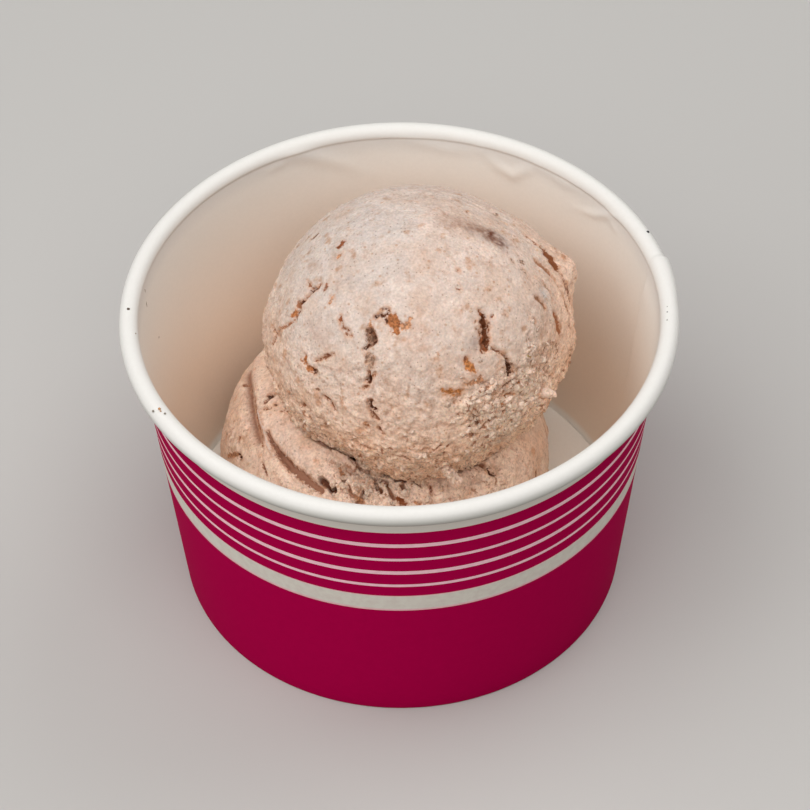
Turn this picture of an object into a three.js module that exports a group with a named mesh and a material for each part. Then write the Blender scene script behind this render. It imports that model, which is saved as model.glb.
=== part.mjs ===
// A paper cup of gelato: a flared cup with a rolled rim and a recessed floor, a squat lower
// scoop that sits on the floor, and a round upper scoop pressed into its top.
// Millimetres, +Z up, origin on the table under the middle of the cup, front of the cup at -Y.

import * as THREE from 'three';
import { mergeVertices } from 'three/addons/utils/BufferGeometryUtils.js';

// ---------------------------------------------------------------- driving dimensions

// Cup
const PAPER = 0.5;                // thickness of the board
const FOOT_RADIUS = 39.57;        // outside, at the table
const WALL_FLARE = 0.096;         // radius gained for each mm of height
const RIM_RADIUS = 48;            // outside of the rolled rim
const RIM_TOP = 60.6;
const RIM_WIDTH = 3.3;            // the roll, across
const RIM_HEIGHT = 3.2;           // the roll, up and down
const FLOOR_TOP = 6;              // upper face of the recessed floor
const GLUE_GAP = 0.15;            // between layers of board at the foot
const FOLD_TOP = 4.8;             // how far the wall's hem reaches up inside the foot
const FOOT_ROUNDING = 0.35;
const FLOOR_ROUNDING = 0.7;
const CUP_SIDES = 72;
const RIM_STEPS = 13;             // points round the roll

// Upper scoop: a ball whose lower half has sagged
const BALL_CENTRE = new THREE.Vector3(3.4, 7.2, 45);
const BALL_RADIUS = 26.9;
const BALL_SAG_RADIUS = 21.5;     // from the middle down to the underside
const BALL_DETAIL = 16;

// Lower scoop: a squat dome that the ball dents
const BASE_CENTRE_X = -2.96;
const BASE_CENTRE_Y = 8;
const BASE_RADIUS = 29.6;
const BASE_BELT = 12;             // height where it starts to round over
const BASE_TOP = 35;              // height that the dome would reach without the dent
const BASE_SQUARENESS = 3;        // 2 is an ellipse, more is boxier
const BASE_SIDES = 80;
const REST_GAP = 0.3;             // between the lower scoop and the floor
const DENT_GAP = 0.4;             // between the two scoops
const DENT_ROUNDS = 8;

// ---------------------------------------------------------------- small helpers

const radians = THREE.MathUtils.degToRad;
const clamp = THREE.MathUtils.clamp;

// 1 at the middle of a mark, 0 well away from it.
const bell = (distance, reach) => Math.exp(-((distance / reach) ** 2));

// Unit direction from the middle of a scoop: azimuth 0 is the front, 90 the right.
function toward(azimuth, elevation) {
  const a = radians(azimuth);
  const e = radians(elevation);
  return new THREE.Vector3(Math.sin(a) * Math.cos(e), -Math.cos(a) * Math.cos(e), Math.sin(e));
}

// Random number from 0 to 1 for a lattice point, always the same for the same seed.
function lattice(ix, iy, iz, seed) {
  let h = Math.imul(ix, 374761393) ^ Math.imul(iy, 668265263);
  h ^= Math.imul(iz, 1440662683) ^ Math.imul(seed, 1274126177);
  h = Math.imul(h ^ (h >>> 15), 2246822519);
  h = Math.imul(h ^ (h >>> 13), 3266489917);
  return ((h ^ (h >>> 16)) >>> 0) / 4294967296;
}

// Smooth noise from -1 to 1, with lumps about `size` across.
function noise(point, size, seed) {
  const cell = [point.x, point.y, point.z].map((value) => Math.floor(value / size));
  const part = [point.x, point.y, point.z].map((value, i) => value / size - cell[i]);
  const fade = part.map((t) => t * t * (3 - 2 * t));
  let sum = 0;
  for (let corner = 0; corner < 8; corner += 1) {
    const step = [corner & 1, (corner >> 1) & 1, (corner >> 2) & 1];
    const weight = step.reduce((w, s, i) => w * (s ? fade[i] : 1 - fade[i]), 1);
    sum += weight * lattice(cell[0] + step[0], cell[1] + step[1], cell[2] + step[2], seed);
  }
  return sum * 2 - 1;
}

// Keeps only positions, welds them and drops triangles that closed up at an axis.
function weld(geometry) {
  geometry.deleteAttribute('normal');
  geometry.deleteAttribute('uv');
  const welded = mergeVertices(geometry, 1e-4);
  const index = welded.getIndex().array;
  const kept = [];
  for (let i = 0; i < index.length; i += 3) {
    const [a, b, c] = [index[i], index[i + 1], index[i + 2]];
    if (a !== b && b !== c && c !== a) kept.push(a, b, c);
  }
  welded.setIndex(kept);
  return welded;
}

// Moves every vertex of a welded geometry to where `place` puts it.
function reshape(geometry, place) {
  const position = geometry.getAttribute('position');
  const point = new THREE.Vector3();
  for (let i = 0; i < position.count; i += 1) {
    point.fromBufferAttribute(position, i);
    const moved = place(point);
    position.setXYZ(i, moved.x, moved.y, moved.z);
  }
  geometry.computeVertexNormals();
  return geometry;
}

// Turns a profile of [radius, height] points about the Z axis.
function turn(profile, sides) {
  const points = profile.map(([radius, height]) => new THREE.Vector2(radius, height));
  const geometry = weld(new THREE.LatheGeometry(points, sides));
  geometry.rotateX(Math.PI / 2);
  geometry.computeVertexNormals();
  return geometry;
}

// Points of an arc as [radius, height], angles in degrees from outward, turning upward.
function arc(centreRadius, centreHeight, halfWidth, halfHeight, from, to, steps) {
  return Array.from({ length: steps }, (_, i) => {
    const angle = radians(from + ((to - from) * i) / (steps - 1));
    return [
      centreRadius + halfWidth * Math.cos(angle),
      centreHeight + halfHeight * Math.sin(angle),
    ];
  });
}

// ---------------------------------------------------------------- cup

const outerWall = (height) => FOOT_RADIUS + WALL_FLARE * height;
const innerWall = (height) => outerWall(height) - PAPER;
const skirtOuter = (height) => innerWall(height) - GLUE_GAP;
const foldOuter = (height) => skirtOuter(height) - PAPER - GLUE_GAP;

// The wall, its rolled rim and the hem folded up inside the foot are one strip of board.
function cupWall() {
  const rollRadius = RIM_RADIUS - RIM_WIDTH / 2;
  const rollHeight = RIM_TOP - RIM_HEIGHT / 2;
  const hemBottom = PAPER + GLUE_GAP / 2;
  const foldInner = foldOuter(0) - PAPER;
  const corner = FOOT_ROUNDING;
  const rollUnderside = 222;
  const profile = [
    [foldInner + corner, 0],
    ...arc(FOOT_RADIUS - corner, corner, corner, corner, -90, 0, 3),
    ...arc(rollRadius, rollHeight, RIM_WIDTH / 2, RIM_HEIGHT / 2, rollUnderside - 360, 180, RIM_STEPS),
    [innerWall(hemBottom), hemBottom],
    [foldOuter(hemBottom), hemBottom],
    [foldOuter(FOLD_TOP), FOLD_TOP],
    [foldOuter(FOLD_TOP) - PAPER, FOLD_TOP],
    [foldInner, corner],
  ];
  return turn([...profile, profile[0]], CUP_SIDES);
}

// The floor is a disc with a skirt turned down between the wall and its hem.
function cupFloor() {
  const skirtBottom = PAPER + GLUE_GAP;
  const bend = FLOOR_ROUNDING;
  const edge = skirtOuter(FLOOR_TOP);
  const underside = FLOOR_TOP - PAPER;
  const profile = [
    [0, underside],
    [edge - PAPER - bend / 2, underside],
    [skirtOuter(underside - bend / 2) - PAPER, underside - bend / 2],
    [skirtOuter(skirtBottom) - PAPER, skirtBottom],
    [skirtOuter(skirtBottom), skirtBottom],
    ...arc(edge - bend, FLOOR_TOP - bend, bend, bend, 0, 90, 3),
    [0, FLOOR_TOP],
  ];
  return turn(profile, CUP_SIDES);
}

// ---------------------------------------------------------------- upper scoop

// Rounded rises and hollows: azimuth and elevation in degrees, reach and rise in mm.
const BALL_LUMPS = [
  { at: [62, 0], reach: 9, rise: -2.4 },     // torn side, lower right
  { at: [36, 14], reach: 7, rise: -0.8 },    // rough hollow beside it
  { at: [104, 21], reach: 3.6, rise: 3 },    // flap that lifts off the right side
  { at: [118, 30], reach: 6, rise: 1 },      // its root, further back
  { at: [86, 2], reach: 7, rise: 0.7 },      // swelling under the flap
  { at: [-70, 34], reach: 8, rise: 0.6 },    // shoulder outside the left crack
  { at: [-96, 8], reach: 6, rise: 0.5 },
  { at: [-34, -26], reach: 9, rise: -2 },    // where the skirt pulls in
  { at: [34, -24], reach: 9, rise: -1.6 },
  { at: [130, 58], reach: 9, rise: -0.9 },   // flatter patch at the back of the crown
  { at: [-14, -30], reach: 6, rise: 0.9 },   // where the skirt hangs lowest
  { at: [-72, 2], reach: 5, rise: -0.6 },
  { at: [13, -26], reach: 2.6, rise: 1.3 },  // drip hanging off the skirt
  { at: [59, -5], reach: 1.8, rise: 1.6 },   // knob beside the torn side
];

// Cracks and torn grooves, each a chain of [azimuth, elevation] points.
const BALL_CRACKS = [
  { path: [[-69, 48], [-67, 39], [-69, 36], [-65, 31]], width: 1.2, depth: 0.9 },
  { path: [[-27, 46], [-23, 39], [-22, 30], [-23, 23], [-19, 14], [-17, 11]], width: 1.4, depth: 1 },
  { path: [[35, 49], [35, 44], [32, 40], [31, 34]], width: 1.6, depth: 1.2 },
  { path: [[40, 27], [40, 21]], width: 1.6, depth: 1.1 },
  { path: [[-52, 23], [-46, 20]], width: 1.2, depth: 0.7 },
  { path: [[-40, 13], [-33, 9]], width: 1.1, depth: 0.6 },
  { path: [[105, 38], [104, 29], [106, 19]], width: 1.4, depth: 1.6 },
  { path: [[-60, -8], [-20, -17], [20, -16], [50, -6]], width: 1.5, depth: 0.7 },
];

const SKIRT_TOP = 12;             // elevation below which the surface is crumbly
const SKIRT_BOTTOM = -14;
const CONTACT_EDGE = -45;         // elevation below which it lies hidden in the dent
const FINE_RELIEF = 0.16;
const CRUMB_RELIEF = 0.55;

// Distance in mm, along a ball of this radius, from a direction to a chain of points.
function distanceToChain(direction, path, radius) {
  const ends = path.map(([azimuth, elevation]) => toward(azimuth, elevation));
  let nearest = Infinity;
  for (let i = 0; i + 1 < ends.length; i += 1) {
    const along = ends[i + 1].clone().sub(ends[i]);
    const t = clamp(direction.clone().sub(ends[i]).dot(along) / along.lengthSq(), 0, 1);
    const closest = ends[i].clone().addScaledVector(along, t);
    nearest = Math.min(nearest, closest.distanceTo(direction) * radius);
  }
  return nearest;
}

// Distance from the ball's middle to its surface, without the relief.
function plainBallRadius(direction) {
  const vertical = direction.z < 0 ? BALL_SAG_RADIUS : BALL_RADIUS;
  const level = Math.hypot(direction.x, direction.y);
  return 1 / Math.hypot(level / BALL_RADIUS, direction.z / vertical);
}

function ballRelief(direction) {
  const elevation = THREE.MathUtils.radToDeg(Math.asin(clamp(direction.z, -1, 1)));
  const exposed = clamp((elevation - CONTACT_EDGE) / 15, 0, 1);
  const crumbly = clamp((SKIRT_TOP - elevation) / (SKIRT_TOP - SKIRT_BOTTOM), 0, 1);
  const place = direction.clone().multiplyScalar(BALL_RADIUS);
  let rise = FINE_RELIEF * (noise(place, 9, 1) + 0.6 * noise(place, 4, 2));
  rise += CRUMB_RELIEF * crumbly * (noise(place, 3.6, 3) + 0.5 * noise(place, 2.2, 4));
  for (const lump of BALL_LUMPS) {
    const distance = toward(...lump.at).distanceTo(direction) * BALL_RADIUS;
    rise += lump.rise * bell(distance, lump.reach);
  }
  for (const crack of BALL_CRACKS) {
    rise -= crack.depth * bell(distanceToChain(direction, crack.path, BALL_RADIUS), crack.width);
  }
  return rise * exposed;
}

const ballRadius = (direction) => plainBallRadius(direction) + ballRelief(direction);

function upperScoop() {
  const ball = weld(new THREE.IcosahedronGeometry(1, BALL_DETAIL));
  return reshape(ball, (point) => {
    const direction = point.clone().normalize();
    return direction.multiplyScalar(ballRadius(direction));
  });
}

// ---------------------------------------------------------------- lower scoop

// Grooves round the shoulder: each runs from one azimuth to another at a radius that
// changes evenly, and is deepest halfway along.
const BASE_GROOVES = [
  { from: -112, to: -58, startRadius: 25.4, endRadius: 24.6, width: 1.3, depth: 1.1 },
  { from: -80, to: -24, startRadius: 22.6, endRadius: 24.8, width: 1.5, depth: 1.5 },
];
const BASE_CRUMBS_FROM = -24;     // azimuths between which the front is chunky
const BASE_CRUMBS_TO = 60;
const BASE_RELIEF = 0.3;
const BASE_CHUNKS = 0.6;
const BASE_SPREAD = 0.7;          // how far the foot of the scoop spreads on the floor

const domeHeight = (radius) => {
  const share = clamp(radius / BASE_RADIUS, 0, 1) ** BASE_SQUARENESS;
  return BASE_BELT + (BASE_TOP - BASE_BELT) * (1 - share) ** (1 / BASE_SQUARENESS);
};

// Profile of the plain dome, from the middle of the foot round the side to the top.
function domeProfile() {
  const bottom = FLOOR_TOP + REST_GAP;
  const profile = [[0, bottom], [BASE_RADIUS * 0.55, bottom], [BASE_RADIUS + BASE_SPREAD, bottom]];
  for (const height of [bottom + 2.2, BASE_BELT, 15.5, 18.5]) {
    const share = clamp((height - BASE_BELT) / (BASE_TOP - BASE_BELT), 0, 1);
    const radius = BASE_RADIUS * (1 - share ** BASE_SQUARENESS) ** (1 / BASE_SQUARENESS);
    profile.push([radius, height]);
  }
  for (const radius of [28.7, 28, 27.1, 26, 24.9, 23.8, 22.7, 21.5, 20.2, 18.6, 16.4, 13.6, 10, 6, 0]) {
    profile.push([radius, domeHeight(radius)]);
  }
  return profile;
}

// Height of the dent that the ball leaves, or Infinity beside it. The ball's radius depends
// on the direction, which depends on the height, so it is found in a few rounds.
function dentHeight(x, y) {
  const offset = new THREE.Vector3(x - BALL_CENTRE.x, y - BALL_CENTRE.y, -BALL_SAG_RADIUS);
  const level = Math.hypot(offset.x, offset.y);
  for (let round = 0; round < DENT_ROUNDS; round += 1) {
    const reach = ballRadius(offset.clone().normalize()) + DENT_GAP;
    if (level >= reach) return Infinity;
    offset.z = -Math.sqrt(reach * reach - level * level);
  }
  return BALL_CENTRE.z + offset.z;
}

function baseRelief(point, azimuth, radius) {
  let rise = BASE_RELIEF * (noise(point, 8, 5) + 0.6 * noise(point, 3.6, 6));
  const chunky = clamp(Math.min(azimuth - BASE_CRUMBS_FROM, BASE_CRUMBS_TO - azimuth) / 12, 0, 1);
  rise += BASE_CHUNKS * chunky * noise(point, 3, 7);
  for (const groove of BASE_GROOVES) {
    const t = (azimuth - groove.from) / (groove.to - groove.from);
    if (t <= 0 || t >= 1) continue;
    const middle = groove.startRadius + (groove.endRadius - groove.startRadius) * t;
    rise -= groove.depth * Math.sin(Math.PI * t) ** 0.6 * bell(radius - middle, groove.width);
  }
  return rise;
}

function lowerScoop() {
  const bottom = FLOOR_TOP + REST_GAP;
  return reshape(turn(domeProfile(), BASE_SIDES), (local) => {
    const radius = Math.hypot(local.x, local.y);
    const azimuth = THREE.MathUtils.radToDeg(Math.atan2(local.x, -local.y));
    const point = local.clone();
    if (local.z > bottom + 0.01) {
      const upright = clamp((local.z - BASE_BELT) / (BASE_TOP - BASE_BELT), 0, 1) ** 2;
      const outward = new THREE.Vector3(local.x, local.y, 0).normalize();
      outward.multiplyScalar(1 - upright).setZ(upright).normalize();
      point.addScaledVector(outward, baseRelief(local, azimuth, radius));
      const ceiling = dentHeight(point.x + BASE_CENTRE_X, point.y + BASE_CENTRE_Y);
      point.z = Math.min(point.z, ceiling);
    }
    return point;
  });
}

// ---------------------------------------------------------------- the object

function piece(name, geometry, colour, roughness) {
  const material = new THREE.MeshStandardMaterial({ color: colour, roughness, metalness: 0 });
  const mesh = new THREE.Mesh(geometry, material);
  mesh.name = name;
  return mesh;
}

const gelatoCup = new THREE.Group();

const wall = piece('cup_wall', cupWall(), 0x8a0a3a, 0.5);
const floor = piece('cup_floor', cupFloor(), 0xe9e2d8, 0.6);
const base = piece('gelato_base', lowerScoop(), 0xd9b8a4, 0.75);
const ball = piece('gelato_ball', upperScoop(), 0xe3cdc2, 0.75);
base.position.set(BASE_CENTRE_X, BASE_CENTRE_Y, 0);
ball.position.copy(BALL_CENTRE);

gelatoCup.add(wall, floor, base, ball);

export default gelatoCup;
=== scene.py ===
"""A paper cup of gelato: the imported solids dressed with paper, print and scooped gelato.

Lengths are millimetres until a mesh is made. Azimuth 0 is the front of the cup (-Y) and 90 its
right, and elevations and azimuths are degrees. Colours are linear.
"""
import itertools
import math

import bpy
import numpy as np
from mathutils import Matrix

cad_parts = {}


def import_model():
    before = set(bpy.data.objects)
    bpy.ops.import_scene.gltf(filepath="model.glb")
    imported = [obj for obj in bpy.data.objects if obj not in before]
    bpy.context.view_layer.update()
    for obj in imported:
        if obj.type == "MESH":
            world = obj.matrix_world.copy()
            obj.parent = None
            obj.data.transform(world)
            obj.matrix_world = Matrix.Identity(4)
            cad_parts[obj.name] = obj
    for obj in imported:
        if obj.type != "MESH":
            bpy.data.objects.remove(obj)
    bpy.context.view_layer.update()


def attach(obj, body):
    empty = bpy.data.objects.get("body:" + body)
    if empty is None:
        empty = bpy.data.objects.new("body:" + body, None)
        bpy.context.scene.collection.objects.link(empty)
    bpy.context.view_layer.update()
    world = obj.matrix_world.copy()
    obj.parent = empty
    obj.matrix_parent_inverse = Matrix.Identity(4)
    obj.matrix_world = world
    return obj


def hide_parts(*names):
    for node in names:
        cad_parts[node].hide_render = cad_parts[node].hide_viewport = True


# -------------------- dimensions, as in the source

PAPER = 0.5                     # thickness of the board
FOOT_RADIUS = 39.57             # outside, at the table
WALL_FLARE = 0.096              # radius gained for each mm of height
RIM_RADIUS = 48.0               # outside of the rolled rim
RIM_TOP = 60.6
RIM_WIDTH = 3.4
RIM_HEIGHT = 3.6
RIM_DROOP = 0.6                 # the rolled rim hangs lower at the front
DROOP_REACH = 55                # degrees from the front
FLOOR_TOP = 6.0
GLUE_GAP = 0.15
FOLD_TOP = 4.8
FOOT_ROUNDING = 0.35
FLOOR_ROUNDING = 0.7
ROLL_START = -135               # where the wall meets the roll, round the roll

BALL_CENTRE = np.array([3.4, 7.2, 45.0])
BALL_RADIUS = 26.9
BALL_SAG_RADIUS = 21.5
BALL_TOP = 71.95

BASE_CENTRE = np.array([-2.96, 8.0, 0.0])
BASE_RADIUS = 29.6
BASE_BELT = 12.0
BASE_TOP = 35.0
BASE_SQUARENESS = 3
BASE_SPREAD = 0.7
REST_GAP = 0.3

# -------------------- numbers and shapes


def radians(angle):
    return np.asarray(angle, float) * math.pi / 180


def toward(azimuth, elevation):
    """Unit directions, one row each."""
    a, e = np.broadcast_arrays(radians(azimuth), radians(elevation))
    return np.stack([np.sin(a) * np.cos(e), -np.cos(a) * np.cos(e), np.sin(e)], axis=-1)


def length(rows):
    return np.linalg.norm(rows, axis=1)


def level(points):
    """Distance from the Z axis."""
    return np.hypot(points[:, 0], points[:, 1])


def azimuth_of(points):
    return np.degrees(np.arctan2(points[:, 0], -points[:, 1]))


def elevation_of(directions):
    return np.degrees(np.arcsin(np.clip(directions[:, 2], -1, 1)))


def bell(distance, reach):
    return np.exp(-((distance / reach) ** 2))


def patch(across, up, middle, reach):
    """1 in the middle of an oval patch, less further out."""
    return bell(across - middle[0], reach[0]) * bell(up - middle[1], reach[1])


def step_up(value, low, high):
    """0 below low, 1 above high, smooth between."""
    t = np.clip((value - low) / (high - low), 0, 1)
    return t * t * (3 - 2 * t)


def lattice(cell, seed):
    """Random number from 0 to 1 for each row of whole numbers, always the same for the same seed."""
    h = cell.astype(np.uint32) * np.array([374761393, 668265263, 1440662683], np.uint32)
    h = np.bitwise_xor.reduce(h, axis=1) ^ np.uint32((seed * 1274126177) & 0xFFFFFFFF)
    h = (h ^ (h >> np.uint32(15))) * np.uint32(2246822519)
    h = (h ^ (h >> np.uint32(13))) * np.uint32(3266489917)
    return (h ^ (h >> np.uint32(16))) / 4294967296.0


def noise(points, size, seed):
    """Smooth noise from -1 to 1, with lumps about `size` across."""
    cell = np.floor(points / size).astype(np.int64)
    part = points / size - cell
    fade = part * part * (3 - 2 * part)
    total = np.zeros(len(points))
    for corner in itertools.product((0, 1), repeat=3):
        total += np.where(corner, fade, 1 - fade).prod(axis=1) * lattice(cell + corner, seed)
    return 2 * total - 1


def waves(points, seed, *parts):
    """A sum of noises, each with a strength and a size."""
    return sum(strength * noise(points, size, seed + i) for i, (strength, size) in enumerate(parts))


def cells(points, size, seed):
    """Distance to the nearest of scattered points, in units of `size`, and that point's own number."""
    scaled = points / size
    cell = np.floor(scaled).astype(np.int64)
    nearest = np.full(len(points), 9.0)
    number = np.zeros(len(points))
    for corner in itertools.product((-1, 0, 1), repeat=3):
        there = cell + corner
        place = there + np.stack([lattice(there, seed + i) for i in range(3)], axis=-1)
        distance = length(scaled - place)
        closer = distance < nearest
        nearest = np.where(closer, distance, nearest)
        number = np.where(closer, lattice(there, seed + 3), number)
    return nearest, number


def along_chain(points, chain):
    """Distance from each point to a chain of points, and how far along it the closest place is."""
    nearest = np.full(len(points), np.inf)
    share = np.zeros(len(points))
    for i, (start, end) in enumerate(zip(chain[:-1], chain[1:])):
        line = end - start
        t = np.clip((points - start) @ line / (line @ line), 0, 1)
        distance = length(points - start - t[:, None] * line)
        closer = distance < nearest
        nearest = np.where(closer, distance, nearest)
        share = np.where(closer, (i + t) / (len(chain) - 1), share)
    return nearest, share


def ramp(value, stops):
    """Colour at each value, from stops of a value and a colour."""
    places, colours = zip(*stops)
    return np.stack([np.interp(value, places, channel) for channel in zip(*colours)], axis=-1)


def blend(first, second, share):
    """Mixes colours, one row each, by a share from 0 to 1 for each row."""
    share = np.clip(share, 0, 1)[:, None]
    return first * (1 - share) + np.asarray(second) * share


# -------------------- meshes


def weld(points, quads):
    """Joins corners that share a place: the points, the faces, and which points were kept."""
    keys = np.round(points * 1e5).astype(np.int64)
    _, first, place = np.unique(keys, axis=0, return_index=True, return_inverse=True)
    corners = [list(dict.fromkeys(quad)) for quad in place.reshape(-1)[quads].tolist()]
    return points[first], [face for face in corners if len(face) > 2], first


def grid_quads(rows, columns):
    corner = np.arange(rows * columns).reshape(rows, columns)
    return np.stack([corner[:-1, :-1], corner[1:, :-1], corner[1:, 1:], corner[:-1, 1:]], -1).reshape(-1, 4)


def turned_mesh(radii, heights, azimuths):
    """A profile turned about Z and welded. It goes up on the outside."""
    a = radians(azimuths)
    radii = np.asarray(radii, float)[:, None]
    heights = np.asarray(heights, float)[:, None] * np.ones(len(a))
    grid = np.stack([radii * np.sin(a), -radii * np.cos(a), heights], axis=-1)
    return weld(grid.reshape(-1, 3), grid_quads(*grid.shape[:2])[:, ::-1])


def uneven_azimuths(dense_from, dense_to, dense_step, other_step):
    """A full turn of azimuths, closer together between two of them, first one repeated at the end."""
    dense = np.linspace(dense_from, dense_to, int((dense_to - dense_from) / dense_step) + 1)
    other = np.linspace(dense_to, dense_from + 360, int((360 - dense_to + dense_from) / other_step) + 1)
    return np.concatenate([dense, other[1:]])


def ball_grid(side, pull):
    """Unit directions and quads of a cube blown up to a sphere, closer together towards `pull`."""
    width = np.tan(np.linspace(-math.pi / 4, math.pi / 4, side + 1))
    u, v = np.meshgrid(width, width, indexing="ij")
    quad = grid_quads(side + 1, side + 1)
    points, quads = [], []
    for axis, sign in itertools.product(range(3), (1, -1)):
        face = np.empty((side + 1, side + 1, 3))
        face[..., axis] = sign
        face[..., (axis + 1) % 3] = u
        face[..., (axis + 2) % 3] = v
        quads.append((quad if sign > 0 else quad[:, ::-1]) + len(points) * (side + 1) ** 2)
        points.append(face.reshape(-1, 3))
    points, faces, _ = weld(np.concatenate(points), np.concatenate(quads))
    points /= length(points)[:, None]
    points += pull
    return points / length(points)[:, None], faces


def make_piece(name, points, faces, materials, node, layers=None, face_materials=None):
    """A mesh object at the origin that rides on the body and stands for a node.

    Each layer is a named colour for every point, with or without alpha.
    """
    mesh = bpy.data.meshes.new(name)
    mesh.from_pydata((points / 1000).tolist(), [], faces)
    for material in materials:
        mesh.materials.append(material)
    if face_materials is not None:
        mesh.polygons.foreach_set("material_index", np.asarray(face_materials, dtype=np.int32))
    for layer, values in (layers or {}).items():
        colours = np.ones((len(points), 4), dtype=np.float32)
        colours[:, :values.shape[1]] = np.clip(values, 0, 1)
        mesh.attributes.new(layer, "FLOAT_COLOR", "POINT").data.foreach_set("color", colours.ravel())
    mesh.shade_smooth()
    mesh.update()
    piece = bpy.data.objects.new(name, mesh)
    bpy.context.scene.collection.objects.link(piece)
    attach(piece, "root")
    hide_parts(node)
    return piece


def gelato_piece(name, points, faces, material, node, tint, rough, bits, cuts):
    layers = {"tint": np.column_stack([tint, rough]), "bits": bits, "cuts": cuts}
    return make_piece(name, points, faces, [material], node, layers)


def read_points(data, key, width):
    """Values that a mesh has for each point."""
    flat = np.empty(len(data) * width)
    data.foreach_get(key, flat)
    return flat.reshape(-1, width)


# -------------------- gelato skin

# The upper scoop's colour by elevation: partly its own warmer tone low down, and partly painted light:
# lighter and warmer low down, where the cup shades it, and darker on top, where the lamps fall strongest.
BALL_TINTS = [
    (-5, (0.980, 0.690, 0.522)),
    (10, (0.855, 0.620, 0.486)),
    (33, (0.722, 0.573, 0.490)),
    (75, (0.665, 0.545, 0.482)),
]
# The lower scoop's tint: warmer than the top of the upper scoop, and painted lighter for the light that the
# cup and the ball keep off it.
BASE_TINT = (0.960, 0.725, 0.590)
PALE = (0.740, 0.610, 0.550)
WARM = (0.950, 0.690, 0.530)
# Painted highlight on raised flakes and rubble; crumbs are tinted towards it too.
FLAKE = (0.930, 0.740, 0.610)
PALE_CRUMB = (0.900, 0.680, 0.555)
MOTTLE = (-0.02, -0.05, -0.07)  # share by which a patch is redder
BLUSHED = (0.98, 0.93, 0.89)    # the tint times this on warmer patches
# Dark colours of dips, hollows, cracks and pits: painted shade in them.
CREVICE_SHADE = (0.360, 0.155, 0.080)
VALLEY = (0.340, 0.165, 0.105)
DEEP = (0.120, 0.042, 0.022)
DEEP_RUST = (0.180, 0.058, 0.024)
UMBER = (0.290, 0.120, 0.062)
RUST = (0.280, 0.088, 0.034)
AMBER = (0.430, 0.160, 0.060)
HONEY = (0.560, 0.220, 0.075)
SOFT_AMBER = (0.560, 0.275, 0.150)
TAUPE = (0.300, 0.165, 0.105)
DUSTY = (0.470, 0.300, 0.215)
SMOKE = (0.420, 0.260, 0.195)
EDGE_REACH = 2.0                # mm each side of a mark's edge that its layer tells apart


def crumble(place, size, seed):
    """Flakes of about a size: how far each place stands up, from about -1 to 1."""
    shift = np.stack([noise(place, 1.3 * size, seed + i) for i in range(3)], axis=-1)
    distance, number = cells(place + 0.4 * size * shift, size, seed + 3)
    return 1.1 * (number - 0.5) + 0.9 * (0.5 - distance)


def gelato_skin(place, rough, tint, seed):
    """Fine relief in mm, and colour, of gelato at points of a form. `rough` is 1 where it is torn."""
    torn = 0.55 * crumble(place, 2.3, seed + 4) + 0.34 * crumble(place, 1.1, seed + 11)
    torn += waves(place, seed + 20, (0.22, 1.4), (0.1, 0.6))
    pore_distance, pore_number = cells(place, 1.5, seed + 22)
    pores = bell(pore_distance, 0.17) * (pore_number > 0.9 - 0.35 * rough)
    relief = waves(place, seed, (0.09, 2.6), (0.06, 1.2), (0.035, 0.6)) + rough * torn
    relief -= pores * (0.08 + 0.45 * rough)

    mottle = waves(place, seed + 30, (0.4, 8), (0.4, 2.6), (0.4, 1.2))
    tint = tint * (1 + mottle[:, None] * MOTTLE)
    tint = blend(tint, tint * BLUSHED, step_up(noise(place, 4.5, seed + 33), 0.05, 0.6))
    tint *= (1 + waves(place, seed + 34, (0.05, 1.4), (0.06, 2.8)))[:, None]
    # Painted highlight on raised flakes, and painted shade in dips and pores.
    tint = blend(tint, FLAKE, 0.7 * rough * step_up(torn, 0.1, 0.5))
    tint = blend(tint, CREVICE_SHADE, 0.5 * rough * step_up(-torn, 0.12, 0.55) + 0.65 * pores * rough)
    return relief, tint


def chains(marks, surface, lead=3):
    """Marks as the points of their chain on a surface, then their first few values."""
    return [(surface(*np.transpose(mark[lead:])), *mark[:lead]) for mark in marks]


def soften(place, tint, clouds, seed):
    """Lays soft clouds of colour over a tint."""
    grain = np.clip(0.7 + waves(place, seed, (0.5, 0.9), (0.4, 0.45)), 0, 1.2)
    for chain, reach, strength, colour in clouds:
        tint = blend(tint, colour, strength * bell(along_chain(place, chain)[0], reach) * grain)
    return tint


def cut_marks(place, marks, relief, seed):
    """Carves marks, each a chain of points, half width, depth and colour.

    Returns the relief and a layer: the colour of the nearest mark and, as alpha, 0.5 on the mark's
    edge and more inside it.
    """
    ragged = noise(place, 0.8, seed)
    inside = np.full(len(place), -EDGE_REACH)
    colours = np.zeros((len(place), 3))
    for chain, width, depth, colour in marks:
        distance, share = along_chain(place, chain)
        taper = 0.5 + 0.5 * np.sin(math.pi * np.clip(share, 0.06, 0.94)) ** 0.5
        edge = width * taper * (1 + 0.3 * ragged) - distance
        relief = relief - depth * step_up(edge, -0.28, 0.2)
        colours[edge > inside] = colour
        inside = np.maximum(inside, edge)
    return relief, np.column_stack([colours, 0.5 + 0.5 * np.clip(inside / EDGE_REACH, -1, 1)])


# -------------------- upper scoop

BALL_SIDE = 127                 # squares along each side of the cube it is blown up from
BALL_PULL = (0, -0.26, 0.33)    # the points are closer together at the upper front
SKIRT_TOP = 12
SKIRT_BOTTOM = -14
CONTACT_EDGE = -45

# Azimuth and elevation, reach and rise of each rounded rise or hollow.
BALL_LUMPS = [
    (14, -20, 6.5, -0.9),
    (29, -19, 6.5, -1.1),
    (62, 0, 9, -2.4),
    (36, 14, 7, -0.8),
    (104, 21, 3.6, 3),
    (118, 30, 6, 1),
    (86, 2, 7, 0.7),
    (-70, 34, 8, 0.6),
    (-96, 8, 6, 0.5),
    (-34, -26, 9, -2),
    (34, -24, 9, -1.6),
    (130, 58, 9, -0.9),
    (-14, -30, 6, 0.9),
    (-72, 2, 5, -0.6),
    (13, -26, 2.6, 1.3),
    (59, -5, 1.8, 1.6),
]
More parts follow.
